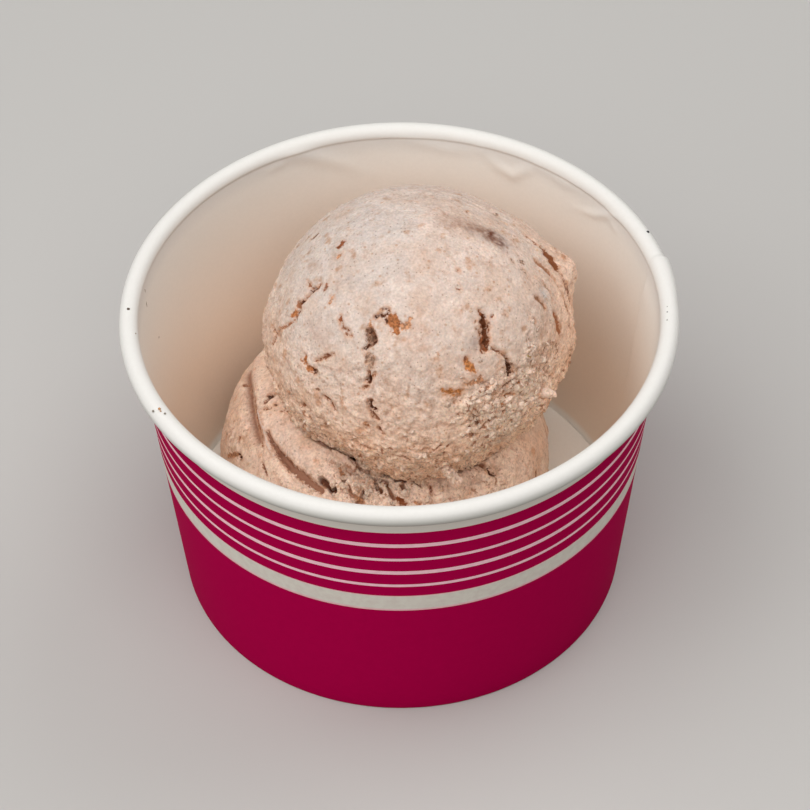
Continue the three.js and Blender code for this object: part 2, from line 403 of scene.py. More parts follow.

# Cracks, pits and slits: half width, depth and colour, then the azimuth and elevation of each point
# of a chain. The dark browns are painted shade inside them. The order doesn't matter.
BALL_CUTS = [
    (0.16, 0.3, UMBER, (-76, 44), (-73, 44.4), (-69, 45)),
    (0.17, 0.4, UMBER, (-69, 45), (-67.2, 46.7), (-67.9, 48.4)),
    (0.36, 1.2, DEEP, (-69.1, 45.4), (-68.8, 43.3)),
    (0.24, 1.2, DEEP, (-68.8, 43.3), (-68.5, 40.5), (-68.3, 38.8), (-69.7, 36.9), (-67.3, 36.3)),
    (0.42, 0.6, CREVICE_SHADE, (-70.8, 37), (-69.1, 36.2)),
    (0.3, 1.2, DEEP, (-67.3, 36.3), (-66.8, 34.2), (-66, 32.1)),
    (0.16, 0.5, CREVICE_SHADE, (-66, 32), (-68, 28), (-71, 24), (-74, 19)),
    (0.26, 0.7, UMBER, (-79, 18), (-75.5, 18.9), (-73.6, 17.1), (-75.1, 11.7)),
    (0.34, 0.3, RUST, (-44.5, 45.3), (-43, 44.2)),
    (0.19, 0.6, UMBER, (-42.5, 43.8), (-40.6, 42.3), (-38.4, 42.3), (-36.3, 42.4)),
    (0.2, 0.3, UMBER, (-37.4, 41), (-37, 40.8)),
    (0.18, 0.3, UMBER, (-34.9, 41.3), (-34.6, 41.2)),
    (0.27, 0.7, DEEP, (-25.7, 50.4), (-25.3, 51)),
    (0.19, 0.7, DEEP, (-25.4, 51), (-22.9, 52), (-20.7, 51.5), (-18.8, 50.6), (-18.6, 49.6)),
    (0.18, 0.6, DEEP, (-20.5, 52.2), (-19, 53.2), (-19.2, 54.3), (-21.5, 54.4), (-23.2, 53.9)),
    (0.16, 0.9, DEEP, (-27, 45.4), (-26.6, 43.4), (-26, 41.4)),
    (0.24, 0.9, UMBER, (-26.9, 44.9), (-24.9, 44.8), (-22.9, 43.6)),
    (0.26, 0.9, DEEP, (-22.9, 43.6), (-22.1, 42.2), (-22.9, 40.7)),
    (0.24, 1.0, DEEP, (-25, 40), (-25.5, 38.8), (-26.4, 38.2)),
    (0.16, 0.4, TAUPE, (-21.2, 36.4), (-20.8, 34.4), (-20.6, 32.6)),
    (0.16, 0.4, TAUPE, (-24.4, 36.2), (-24, 34)),
    (0.2, 0.9, UMBER, (-22, 31), (-21.4, 29), (-21.2, 28)),
    (0.42, 1.1, DEEP, (-21.6, 28.2), (-21.2, 27)),
    (0.19, 0.7, UMBER, (-21.6, 28.2), (-22.9, 27)),
    (0.22, 0.7, UMBER, (-21.1, 25.6), (-22.9, 24.2)),
    (0.17, 0.5, CREVICE_SHADE, (-19.1, 31), (-20.4, 28.6)),
    (0.3, 0.9, UMBER, (-20, 20.2), (-18.1, 19.6)),
    (0.42, 1.2, DEEP, (-19.8, 18.4), (-19.2, 16.6), (-17.5, 16.8)),
    (0.32, 0.8, UMBER, (-18.3, 14.9), (-17.3, 13.5), (-16, 12.9)),
    (0.24, 0.7, UMBER, (-15.4, 9.2), (-15, 8), (-13.4, 6.7)),
    (0.26, 0.6, DEEP, (-47.2, 21.8), (-45.4, 21.4), (-45, 22.6)),
    (0.17, 0.5, UMBER, (-39.8, 31.9), (-42.6, 29.7), (-44.5, 27.7), (-47, 25.5)),
    (0.3, 0.5, UMBER, (-42.2, 30.3), (-43.1, 29)),
    (0.2, 0.7, UMBER, (-39.3, 14.5), (-36.3, 13.9), (-34.8, 12.4), (-33, 10.5)),
    (0.2, 0.4, TAUPE, (-43, 15.4), (-42, 15.7)),
    (0.34, 0.6, UMBER, (-49.6, 3.2), (-48.3, 4.4)),
    (0.34, 0.5, RUST, (35.9, 49.8), (36.4, 48.3), (37.1, 47.1)),
    (0.42, 0.9, DEEP_RUST, (37.1, 47.1), (36, 45.8), (35.8, 44.3), (36.6, 43.2)),
    (0.45, 0.9, DEEP_RUST, (35.6, 43.6), (34.6, 41.6), (33.4, 38.8), (32.6, 36.4)),
    (0.26, 0.5, UMBER, (34.6, 46.6), (33.4, 46.2)),
    (0.24, 0.5, UMBER, (33.4, 38.8), (30.8, 38.2), (30.2, 36.9)),
    (0.22, 0.4, UMBER, (31.2, 43.8), (31, 42.4)),
    (0.3, 0.4, RUST, (41.6, 46.2), (41, 45.7)),
    (0.16, 0.2, TAUPE, (31.3, 47.2), (31, 46.9)),
    (0.16, 0.2, TAUPE, (30.4, 44.9), (30.2, 44.5)),
    (0.17, 0.6, UMBER, (33.2, 36.5), (34.6, 35), (36.8, 33), (38.6, 31)),
    (0.26, 0.9, UMBER, (39, 30.2), (39.3, 27.5)),
    (0.5, 1.3, DEEP, (39.2, 27.5), (40, 24.8), (39, 22.4)),
    (0.18, 0.4, TAUPE, (36.4, 26.8), (36.8, 26.2)),
    (0.34, 0.8, UMBER, (35.3, 19), (37.3, 19.4)),
    (0.22, 0.5, UMBER, (21, 35.9), (20.7, 34.3)),
    (0.2, 1.0, UMBER, (23, 5.4), (26.2, 6.7), (28.7, 7), (32.4, 6.2)),
    (0.2, 0.8, CREVICE_SHADE, (34.2, 7), (37, 7.8)),
    (0.3, 0.9, UMBER, (22, 9), (22.4, 7.2)),
    (0.2, 0.8, UMBER, (15.3, 4.2), (18.2, 4.4), (21, 3)),
    (0.24, 0.7, UMBER, (18.3, 8.4), (18.3, 6.6)),
    (0.26, 0.6, RUST, (6.6, -3.8), (8.6, -2.1)),
    (0.15, 0.5, CREVICE_SHADE, (0.8, 1), (5.1, 0.5), (7.3, 2.5)),
    (0.16, 0.6, CREVICE_SHADE, (9.8, 1.6), (11.4, 2.2)),
    (0.17, 0.6, CREVICE_SHADE, (30.4, -8.6), (33, -6.5), (36, -5.6)),
    (0.16, 0.6, CREVICE_SHADE, (-10, -4), (-6.5, -3.6), (-4, -5.4)),
    (0.16, 0.6, CREVICE_SHADE, (-24, -1), (-20, -2.6), (-17, -2.2)),
    (0.45, 0.1, UMBER, (104.8, 36), (103.6, 34)),
    (0.95, 0.15, (0.25, 0.08, 0.03), (103.8, 34.3), (101.7, 32.3), (99.5, 30.6), (98.4, 29.4)),
    (0.55, 0.4, (0.42, 0.2, 0.11), (92.8, 41.2), (92.8, 38.2), (92.9, 35), (93, 33.4)),
    (0.72, 0.4, (0.4, 0.155, 0.07), (75.6, 25.8), (75.2, 22), (75.2, 18.5), (75.5, 15.8)),
    (0.7, 1.4, DEEP, (66.2, -23.4), (67.4, -25.6)),
    (0.36, 0.4, (0.34, 0.165, 0.09), (70.9, 38), (72.1, 35.6), (72.5, 33.4), (71.7, 32.2)),
    (0.26, 0.4, RUST, (61.5, 34), (60.9, 33)),
    (0.2, 0.4, VALLEY, (110.2, 43.5), (107.7, 40.3), (104.6, 38)),
    (0.18, 0.5, VALLEY, (92.9, 33), (90.8, 28.5), (88.9, 22.3), (86.1, 15.9), (84, 9.6)),
    (0.2, 0.5, VALLEY, (97.3, 27.9), (94.6, 22.6), (93.7, 16.1), (92.8, 9)),
    (0.15, 0.3, DUSTY, (83.2, 37), (81.6, 32.1), (79.7, 29.5)),
    (0.22, 0.2, UMBER, (130, 65), (131, 64)),
    (0.2, 0.2, UMBER, (38, 67), (38, 66)),
]

# Bits of nut, as for the cuts. Their edges are ragged and they are uneven in colour.
BALL_BITS = [
    (1.09, 0.1, AMBER, (-16.9, 52.4), (-15.1, 50.6), (-13.2, 49.2), (-13, 47.6)),
    (0.57, 0.1, SOFT_AMBER, (-13.3, 50.3), (-9.8, 49.1), (-7, 49.3), (-5.6, 52.2)),
    (0.69, 0.25, RUST, (-13.9, 48.2), (-12.6, 47.4)),
    (0.52, 0.2, RUST, (-12.3, 50.2), (-10.6, 49.5)),
    (0.46, 0.1, SOFT_AMBER, (-27.2, 48.2), (-26.6, 46.4)),
    (0.83, 0.6, TAUPE, (-25.9, 45.2), (-24.8, 43.2), (-24, 41.2)),
    (0.63, 0.3, DUSTY, (-23.3, 36.8), (-22.5, 34.8), (-21.8, 32.9)),
    (0.57, 0.1, AMBER, (-68.8, 33.6), (-68.5, 31.6)),
    (0.46, 0.4, AMBER, (-52.4, 24.8), (-52, 22.6), (-49.7, 21.6), (-47, 22)),
    (0.46, 0.2, AMBER, (-20.4, 9.9), (-20.3, 8.4)),
    (0.48, 0.1, HONEY, (8.4, 25.8), (11, 24.9), (13.3, 24.1), (16.4, 23.8)),
    (0.52, 0.1, SOFT_AMBER, (19, 26), (22.5, 26.1), (25.4, 26.6), (26, 28)),
    (0.69, 0.1, HONEY, (20.8, 34.4), (21.3, 32.7), (23.1, 30.8)),
    (0.7, 0.4, RUST, (36, 46), (35.2, 44.4), (33.2, 42.4)),
    (0.95, 0.4, RUST, (32.4, 41.4), (32, 39.7), (31, 36.8)),
    (0.5, 0.2, SOFT_AMBER, (40.2, 13.1), (36, 14), (33, 11)),
    (0.48, 0.3, AMBER, (40.5, 15.9), (42.8, 16.3)),
    (0.39, 0.05, (0.5, 0.3, 0.09), (50, 26), (50.4, 25.2)),
    (0.66, 0.3, (0.50, 0.31, 0.22), (20.9, 13.4), (21.5, 9.4)),
    (0.39, 0.1, TAUPE, (84, 49), (83.6, 48.2)),
    (0.37, 0.1, DUSTY, (79, 47.8), (79, 47)),
    (0.41, 0.05, DUSTY, (79.3, 53.2), (79.2, 52.6)),
    (0.46, 0.1, RUST, (-89, 62), (-86, 60)),
    (0.32, 0.1, SOFT_AMBER, (-78, 60), (-77, 59)),
    (0.4, 0.1, TAUPE, (-109, 47), (-107, 45)),
    (0.37, 0.05, RUST, (-64, 50), (-63, 49)),
    (0.4, 0.1, SOFT_AMBER, (-56, 49), (-54, 47)),
    (0.38, 0.15, RUST, (30, 61), (31, 60)),
    (0.4, 0.15, TAUPE, (126, 51), (127, 50)),
]

# Soft clouds of colour: reach, strength and colour, then the chain.
BALL_CLOUDS = [
    # The first three are painted light: they lighten the torn lower right, which lies in shade.
    (5, 0.75, (1.0, 0.85, 0.72), (30, 3), (41, -5), (50, 2)),
    (5, 0.8, (1.0, 0.80, 0.655), (31, -28), (36, -20), (44, -16)),
    (4, 0.8, (1.0, 0.79, 0.64), (22, 14), (26, 6), (36, 8), (44, 14)),
    (1.3, 0.5, (0.4, 0.33, 0.31), (-58, 57), (-50, 58), (-45, 59)),
    (1.9, 1, SMOKE, (117.7, 78.3), (111, 75.2), (105.4, 71.7), (100.8, 68)),
    (1.6, 0.9, (0.30, 0.17, 0.115), (100.8, 68), (96.3, 64.3), (93.5, 60.4)),
    (1.7, 1.2, (0.15, 0.05, 0.026), (97, 61), (93.5, 60), (91.8, 57.8)),
    (1.0, 0.4, (0.66, 0.60, 0.57), (93, 69.3), (90.5, 67.4)),
    (1.0, 0.3, (0.64, 0.58, 0.55), (96.5, 55.7), (86, 54.6)),
    (1.0, 0.5, (0.6, 0.57, 0.56), (77, 37), (77, 33.9)),
    (1.0, 0.6, (0.33, 0.25, 0.23), (28, 42), (26.3, 40)),
    (1.5, 0.5, SOFT_AMBER, (33, 42), (31.5, 37)),
    (1.1, 0.45, SOFT_AMBER, (22, 35), (21, 29), (16, 24)),
    (1.0, 0.6, (0.46, 0.29, 0.2), (-84, 47), (-80, 49)),
    (1.0, 0.5, (0.5, 0.38, 0.31), (-114, 62), (-108, 59)),
    (1.8, 0.5, (0.52, 0.34, 0.27), (-54, 36), (-48, 35)),
    (1.2, 0.4, (0.56, 0.4, 0.3), (-19, 38), (-18, 35)),
    (1.3, 0.35, SOFT_AMBER, (-2, 50), (2, 48)),
    (1.4, 0.35, SOFT_AMBER, (-4, 44), (0, 42)),
]

# Painted light: the right side is painted lighter and redder, and the left darker.
SIDE_LIGHT_TINT = (0.06, 0.02, -0.01)  # share by which the right side differs, and the left the other way
TORN_CENTRE = (44, 9)           # the torn side: azimuth and elevation
TORN_REACH = (30, 20)
EDGE_LINES = (74, 116, 3.4)     # azimuths of the fine layers at the right edge, and their spacing
ARC_AXIS = (0, 44)              # the scoop's drag lines at the back run round this direction


def ball_form(directions):
    """Distance from the ball's middle to its surface, as the solid has it without its cracks."""
    vertical = np.where(directions[:, 2] < 0, BALL_SAG_RADIUS, BALL_RADIUS)
    plain = 1 / np.hypot(level(directions) / BALL_RADIUS, directions[:, 2] / vertical)
    elevation = elevation_of(directions)
    exposed = np.clip((elevation - CONTACT_EDGE) / 15, 0, 1)
    crumbly = np.clip((SKIRT_TOP - elevation) / (SKIRT_TOP - SKIRT_BOTTOM), 0, 1)
    place = directions * BALL_RADIUS
    rise = 0.16 * waves(place, 1, (1, 9), (0.6, 4)) + 0.55 * crumbly * waves(place, 3, (1, 3.6), (0.5, 2.2))
    for azimuth, height, reach, lump in BALL_LUMPS:
        rise += lump * bell(length(directions - toward(azimuth, height)) * BALL_RADIUS, reach)
    return plain + rise * exposed


def on_ball(azimuth, elevation):
    return toward(azimuth, elevation) * BALL_RADIUS


def upper_scoop(material):
    directions, faces = ball_grid(BALL_SIDE, BALL_PULL)
    place = directions * BALL_RADIUS
    azimuth, elevation = azimuth_of(directions), elevation_of(directions)

    uneven = waves(place, 21, (7, 5), (3, 1.6))
    skirt = step_up(6 - elevation + uneven, -4, 18) * step_up(elevation, -60, -40)
    offset = (np.column_stack([azimuth, elevation]) - TORN_CENTRE) / TORN_REACH
    torn = step_up(1.1 - np.hypot(*offset.T) + uneven / 22, 0, 0.45)
    pitted = 0.3 * step_up(40 - elevation + uneven, 0, 16)
    rough = np.clip(0.08 + pitted + 0.55 * skirt + torn, 0, 1)
    # Painted light: the tint is lighter and warmer low down and darker on top.
    ground = ramp(elevation + 6 * noise(place, 9, 23), BALL_TINTS)
    # Painted light: the right side lighter and redder, the left darker.
    ground *= 1 + np.sin(radians(azimuth))[:, None] * SIDE_LIGHT_TINT
    relief, tint = gelato_skin(place, rough, ground, 31)

    ledge = 0.5 - (elevation + waves(place, 91, (4.5, 4), (2, 1.8))) / 5 % 1
    layered = skirt * np.clip(0.5 + 0.6 * noise(place, 4, 93), 0, 1)
    relief += 0.3 * layered * ledge
    # Painted shade under each ledge.
    tint = blend(tint, CREVICE_SHADE, 0.3 * layered * step_up(-ledge, 0.2, 0.5))
    low, high, spacing = EDGE_LINES
    lines = step_up(azimuth, low, low + 8) * step_up(high - azimuth, 0, 10)
    lines *= step_up(elevation, -8, 4) * step_up(46 - elevation, 0, 8)
    wave = np.sin((azimuth + 3 * noise(place, 7, 94)) * math.tau / spacing)
    relief += 0.16 * lines * wave
    tint = blend(tint, WARM, 0.5 * lines * step_up(-wave, 0, 1))
    turn = np.degrees(np.arccos(np.clip(directions @ toward(*ARC_AXIS), -1, 1)))
    arcs = step_up(turn, 62, 78) * step_up(elevation, 28, 40)
    wave = np.sin((turn + 2.5 * noise(place, 6, 95)) * 1.5)
    relief += 0.05 * arcs * wave
    # Painted shade in the troughs of the drag lines.
    tint = blend(tint, tint * BLUSHED, 0.5 * arcs * step_up(-wave, 0, 1))

    # Painted shade on the ball's underside where it comes close to the lower scoop.
    above = BALL_CENTRE[2] + directions[:, 2] * BALL_SAG_RADIUS
    above -= dome_height(level(place + BALL_CENTRE - BASE_CENTRE))
    near = step_up(0.6 + 0.4 * noise(place, 1.5, 96) - above, 0, 0.8)
    tint = blend(tint, CREVICE_SHADE, 0.5 * (elevation < 0) * near)
    tint = soften(place, tint, chains(BALL_CLOUDS, on_ball), 97)
    relief, bits = cut_marks(place, chains(BALL_BITS, on_ball), relief, 99)
    relief, cuts = cut_marks(place, chains(BALL_CUTS, on_ball), relief, 100)
    exposed = step_up(elevation, CONTACT_EDGE, CONTACT_EDGE + 12)
    points = BALL_CENTRE + directions * (ball_form(directions) + relief * exposed)[:, None]
    points[:, 2] = np.minimum(points[:, 2], BALL_TOP)
    return gelato_piece("upper_scoop", points, faces, material, "gelato_ball", tint, rough, bits, cuts)


# -------------------- lower scoop

BASE_CHUNKS = (-24, 60)         # azimuths between which the front is chunky
RUBBLE = ((-8, 31), (17, 3.2))  # the broken patch in front: its middle and reach
SHOULDER_HEIGHT = 27.4          # the profile's points are dense up to here, and then by radius
SHOULDER_RADIUS = 18.6
DENT_GAP = 0.22
DENT_ROUNDS = 6
DENSE_AZIMUTHS = (-134, 104)

# Grooves, pits and cracks, as on the upper scoop, but with the azimuth and height of each point.
# The ones with a depth below 0 are ridges. The dark browns are painted shade inside the others.
BASE_CUTS = [
    (0.9, -0.6, (0.93, 0.70, 0.57), (-38, 33.4), (-30, 33.3), (-22, 32.9), (-16, 32.5)),
    (0.17, 0.3, CREVICE_SHADE, (-90, 30.4), (-83.7, 30.5), (-74.8, 30.4), (-65.6, 29.9), (-60.5, 29.3)),
    (0.14, -0.3, PALE, (-79.3, 30.7), (-68.2, 30.6), (-60.6, 30.1), (-54.1, 29.7)),
    (0.3, 0.5, VALLEY, (-66, 30.9), (-62.3, 30.7), (-59, 30.6)),
    (0.3, 0.5, VALLEY, (-66, 30.8), (-60.5, 30.6), (-53, 30.4)),
    (0.5, 0.5, VALLEY, (-61, 30.6), (-53, 30.4), (-45, 30.1)),
    (0.78, 0.7, VALLEY, (-54, 30.4), (-50.7, 30.3), (-43.5, 30), (-37.2, 29.8), (-30.7, 29.4),
     (-26.5, 29.2)),
    (0.42, 1.3, DEEP, (-86.2, 32.1), (-83.8, 32.4)),
    (0.3, 0.8, UMBER, (-81.6, 31.7), (-84.4, 32.2)),
    (0.3, 0.6, TAUPE, (-77.7, 32.5), (-77.2, 32.5)),
    (0.4, 1.0, DEEP, (-70.4, 24.6), (-67.9, 25.1)),
    (0.2, 0.7, UMBER, (-56.7, 27.8), (-54.4, 27.5), (-51.9, 26.9)),
    (0.3, 0.6, UMBER, (-101, 27.6), (-100.6, 28.8)),
    (0.26, 0.4, TAUPE, (-95.4, 29.9), (-94.8, 29.8)),
    (0.17, 0.4, CREVICE_SHADE, (-78.4, 31.4), (-76.6, 32)),
    (0.16, 0.4, CREVICE_SHADE, (-71.4, 32.7), (-70, 33.1)),
    (0.3, 0.3, CREVICE_SHADE, (-75.2, 26.8), (-74.8, 26.4)),
    (0.5, 0.5, RUST, (5.6, 29.4), (8.2, 28.6)),
    (0.22, 0.8, DEEP, (46.8, 28.9), (46.6, 28.2), (48.8, 27.3)),
    (0.2, 0.7, UMBER, (20.2, 30.2), (19.4, 29.4)),
    (0.24, 0.3, TAUPE, (49, 24.3), (49.2, 23.9)),
    (0.5, 0.9, DEEP, (90.4, 24.4), (89.8, 22.8), (89, 21.4)),
    (0.3, 0.4, UMBER, (88.9, 20), (89.3, 17.5)),
]
BASE_BITS = [
    (0.57, 0.1, SOFT_AMBER, (-21.2, 31.9), (-19, 31.2)),
    (0.46, 0.1, AMBER, (68.2, 20.8), (69, 19.8)),
    (0.46, 0.1, SOFT_AMBER, (-11, 29.3), (-9, 28.9)),
    (0.52, 0.1, SOFT_AMBER, (-76.5, 21.8), (-71.4, 24.4)),
    (0.4, 0.1, SOFT_AMBER, (12, 28.6), (14, 28.2)),
]
BASE_CLOUDS = [
    (2.2, 0.4, (0.74, 0.6, 0.54), (-64, 31.6), (-44, 31.2)),
    (1.4, 0.4, (0.5, 0.4, 0.35), (-38, 30.9), (-34, 30.8)),
    (1.3, 0.5, CREVICE_SHADE, (-92, 32.6), (-84, 32.8)),
]
# Hollows: reach, depth, strength and colour, then the chain. The colour is painted shade in the hollow.
BASE_VALLEYS = [
    (1.0, 0.8, 0.95, VALLEY, (-108, 27.9), (-97.8, 29.3), (-91.1, 29.8), (-82.1, 29.9), (-73.6, 29.7),
     (-66, 29.4)),
    (1.0, 0.5, 0.15, VALLEY, (-60.5, 30.9), (-50.7, 30.7), (-43.5, 30.4), (-37.2, 30.1), (-30.7, 29.8)),
    (1.1, 0.5, 0.35, CREVICE_SHADE, (-15, 32.2), (-12.5, 31.7), (-8.3, 31.3)),
    (0.9, 0.5, 0.5, CREVICE_SHADE, (30, 31), (37.5, 30.6), (45, 30.1)),
]
# These have ragged edges, and their colour is painted shade in the hollow too.
BASE_HOLLOWS = [
    (0.8, 1.2, 1, DEEP, (-28, 30.3), (-24.7, 30), (-21.7, 29.8)),
    (0.5, 0.8, 0.6, UMBER, (-17.9, 32.9), (-10.6, 32.3), (-6.9, 31.9)),
    (0.5, 0.8, 0.8, UMBER, (-3.7, 31.4), (1.2, 31.2)),
    (0.35, 0.6, 0.9, UMBER, (5.4, 31.4), (10.8, 31.3), (18, 31.4)),
    (0.5, 1.0, 1, UMBER, (-3.7, 31.1), (-2.7, 30.5), (-1.5, 30.4)),
    (0.4, 0.9, 0.9, UMBER, (1.2, 30.9), (3, 30), (4, 29.4)),
    (0.5, 0.8, 0.9, UMBER, (7.8, 30.8), (9, 30.2)),
    (0.45, 0.8, 0.9, UMBER, (-8.8, 30.1), (-9.5, 29), (-11, 28.6)),
    (0.4, 0.7, 0.9, CREVICE_SHADE, (-16, 30.6), (-14, 29.6), (-12, 29.4)),
    (0.45, 0.6, 0.8, CREVICE_SHADE, (-20, 31.6), (-18.4, 31)),
    (0.5, 0.7, 0.8, UMBER, (34.2, 30.6), (36, 30.5)),
    (0.45, 0.7, 0.8, UMBER, (40.9, 30.4), (44.9, 30.1), (46.1, 29.4)),
    (0.35, 0.5, 0.7, CREVICE_SHADE, (14, 31.1), (16, 30.4)),
]


def dome_height(radius):
    share = np.clip(radius / BASE_RADIUS, 0, 1) ** BASE_SQUARENESS
    return BASE_BELT + (BASE_TOP - BASE_BELT) * (1 - share) ** (1 / BASE_SQUARENESS)


def dome_radius(height):
    share = np.clip((height - BASE_BELT) / (BASE_TOP - BASE_BELT), 0, 1) ** BASE_SQUARENESS
    return BASE_RADIUS * (1 - share) ** (1 / BASE_SQUARENESS)


def on_dome(azimuth, height):
    return toward(azimuth, 0) * dome_radius(height)[:, None] + height[:, None] * (0, 0, 1)


def base_profile():
    """Radii and heights from the middle of the foot, round the side and over to the middle."""
    bottom = FLOOR_TOP + REST_GAP
    low = np.linspace(bottom + 1.2, 14, 9)
    side = np.linspace(14.3, SHOULDER_HEIGHT, 48)
    shoulder = np.linspace(dome_radius(SHOULDER_HEIGHT), SHOULDER_RADIUS, 46)[1:]
    inside = np.linspace(SHOULDER_RADIUS, 0, 14)[1:]
    foot = [0, 8, 16, 23, 28, BASE_RADIUS + BASE_SPREAD]
    radii = np.concatenate([foot, dome_radius(low), dome_radius(side), shoulder, inside])
    radii[len(foot)] += 0.3
    heights = np.concatenate([[bottom] * len(foot), low, side, dome_height(shoulder), dome_height(inside)])
    return radii, heights


def dent_height(x, y):
    """Height of the dent under the ball, or infinity beside it."""
    offset = np.stack([x - BALL_CENTRE[0], y - BALL_CENTRE[1], np.full(len(x), -BALL_SAG_RADIUS)], axis=-1)
    missed = np.zeros(len(x), dtype=bool)
    for _ in range(DENT_ROUNDS):
        reach = ball_form(offset / length(offset)[:, None]) + DENT_GAP
        missed |= level(offset) >= reach
        offset[:, 2] = -np.sqrt(np.clip(reach ** 2 - level(offset) ** 2, 0, None))
    return np.where(missed, np.inf, BALL_CENTRE[2] + offset[:, 2])


def lower_scoop(material):
    local, faces, _ = turned_mesh(*base_profile(), uneven_azimuths(*DENSE_AZIMUTHS, 0.4, 1.3))
    azimuth, height = azimuth_of(local), local[:, 2]
    chunky = np.clip(np.minimum(azimuth - BASE_CHUNKS[0], BASE_CHUNKS[1] - azimuth) / 12, 0, 1)
    form = 0.3 * waves(local, 5, (1, 8), (0.6, 3.6)) + 0.6 * chunky * noise(local, 3, 7)

    rubble = patch(azimuth, height, *RUBBLE)
    rough = np.clip(0.25 + 0.35 * chunky + 0.8 * rubble + 0.25 * noise(local, 6, 71), 0, 1)
    relief, tint = gelato_skin(local, rough, np.tile(BASE_TINT, (len(local), 1)), 81)
    relief += 0.5 * rubble * crumble(local, 3.4, 118) + 0.2 * noise(local, 2.4, 121)
    ragged = 0.22 * noise(local, 1.1, 123) + 0.16 * noise(local, 0.5, 126)
    # Carves the hollows and darkens them with painted shade.
    for marks in (BASE_VALLEYS, BASE_HOLLOWS):
        for chain, reach, depth, strength, colour in chains(marks, on_dome, 4):
            inside = bell(along_chain(local, chain)[0], reach)
            if marks is BASE_HOLLOWS:
                inside = step_up(inside + ragged, 0.35, 0.7)
            relief -= depth * inside
            tint = blend(tint, colour, strength * inside)
    tint = soften(local, tint, chains(BASE_CLOUDS, on_dome), 122)
    # Painted highlight on the raised rubble.
    tint = blend(tint, FLAKE, 0.6 * rubble * step_up(relief, 0, 0.6))
    relief, bits = cut_marks(local, chains(BASE_BITS, on_dome), relief, 124)
    relief, cuts = cut_marks(local, chains(BASE_CUTS, on_dome), relief, 125)

    upright = np.clip((height - BASE_BELT) / (BASE_TOP - BASE_BELT), 0, 1) ** 2
    outward = local / np.maximum(level(local), 1e-6)[:, None] * (1 - upright)[:, None]
    outward[:, 2] = upright
    outward /= np.maximum(length(outward), 1e-6)[:, None]
    raised = height > FLOOR_TOP + REST_GAP + 0.01
    points = local + BASE_CENTRE + outward * ((form + relief) * raised)[:, None]
    top = np.flatnonzero(raised)
    roof = dent_height(points[top, 0], points[top, 1])
    # Painted shade on the lower scoop where the ball presses into it.
    tint[top] = blend(tint[top], UMBER, step_up(points[top, 2] - roof, -0.1, 0.5))
    points[top, 2] = np.minimum(points[top, 2], roof)
    return gelato_piece("lower_scoop", points, faces, material, "gelato_base", tint, rough, bits, cuts)


# -------------------- cup

BLANK_FROM = 52.16              # the print ends here, below the rim
OUTER_SEAM = 116                # azimuth of the edge of the outer layer of board
INNER_SEAM = 103.7
RIM_SEAM = 104.4
LAYER = 0.4                     # how far a layer of board stands proud at a seam
DENSE_WALL = (92, 212)          # azimuths with more points, for the creases at the back
AROUND = 44 * math.pi / 180     # length of a degree round the inner wall

# Creases inside the rim: half width and how far it stands inward, then azimuth and height.
CREASES = [
    (1.6, 0.34, (210, 60.2), (203, 58.2), (196, 55.4), (187, 51.2)),
    (0.9, 0.14, (206, 57.6), (212, 57.2)),
    (1.4, 0.18, (183, 59.2), (176, 58.0), (168, 56.6), (160, 57.6)),
    (1.2, 0.32, (160, 57.8), (156, 55.4), (152, 54.4), (149, 56.4), (146, 58.2)),
    (1.1, 0.16, (146, 58.2), (138, 57.6), (132, 58.4)),
    (0.9, 0.3, (134, 53.8), (128, 55.4), (124, 57.6), (119, 59.8)),
    (1.0, 0.14, (124, 57.2), (119, 55.9)),
]


def wall_radius(height, inset=0):
    """The outside of the wall at a height, or what lies further in."""
    return FOOT_RADIUS + WALL_FLARE * height - inset


SKIRT_INSET = PAPER + GLUE_GAP  # of the floor's skirt, inside the wall
FOLD_INSET = 2 * SKIRT_INSET    # of the hem, inside that skirt


def ellipse(radius, height, half_width, half_height, start, end, steps):
    """Points round an ellipse, angles from outward, turning upward."""
    angle = radians(np.linspace(start, end, steps))
    return radius + half_width * np.cos(angle), height + half_height * np.sin(angle)


def wall_profile():
    """Sections of the closed profile, each a name, radii and heights."""
    hem_bottom = PAPER + GLUE_GAP / 2
    corner = FOOT_ROUNDING
    fold_inner = wall_radius(0, FOLD_INSET + PAPER)
    printed = np.linspace(0.5, BLANK_FROM, 27)
    blank = np.linspace(BLANK_FROM + 0.02, 57.0, 8)
    inner = np.concatenate([np.linspace(59, 45, 40)[1:], np.linspace(45, 6.6, 24)[1:], [hem_bottom]])
    hem = np.linspace(hem_bottom, FOLD_TOP, 5)
    roll = (RIM_RADIUS - RIM_WIDTH / 2, RIM_TOP - RIM_HEIGHT / 2, RIM_WIDTH / 2, RIM_HEIGHT / 2)
    over = ellipse(*roll, 40, 180, 22)
    return [
        ("foot", *ellipse(FOOT_RADIUS - corner, corner, corner, corner, -90, 0, 6)),
        ("print", wall_radius(printed), printed),
        ("blank", wall_radius(blank), blank),
        ("under roll", *ellipse(*roll, ROLL_START, 40, 28)),
        ("roll", over[0][1:], over[1][1:]),
        ("inside", wall_radius(inner, PAPER), inner),
        ("hem", wall_radius(hem, FOLD_INSET), hem),
        ("hem", [wall_radius(FOLD_TOP, FOLD_INSET + PAPER), fold_inner, fold_inner + corner],
         [FOLD_TOP, corner, 0]),
        ("foot", [FOOT_RADIUS - corner], [0]),
    ]


def layer_edge(distance, rise, hold, fade):
    """1 just past an edge, and back to 0 further on."""
    return step_up(distance, 0, rise) * (1 - step_up(distance, hold, fade))


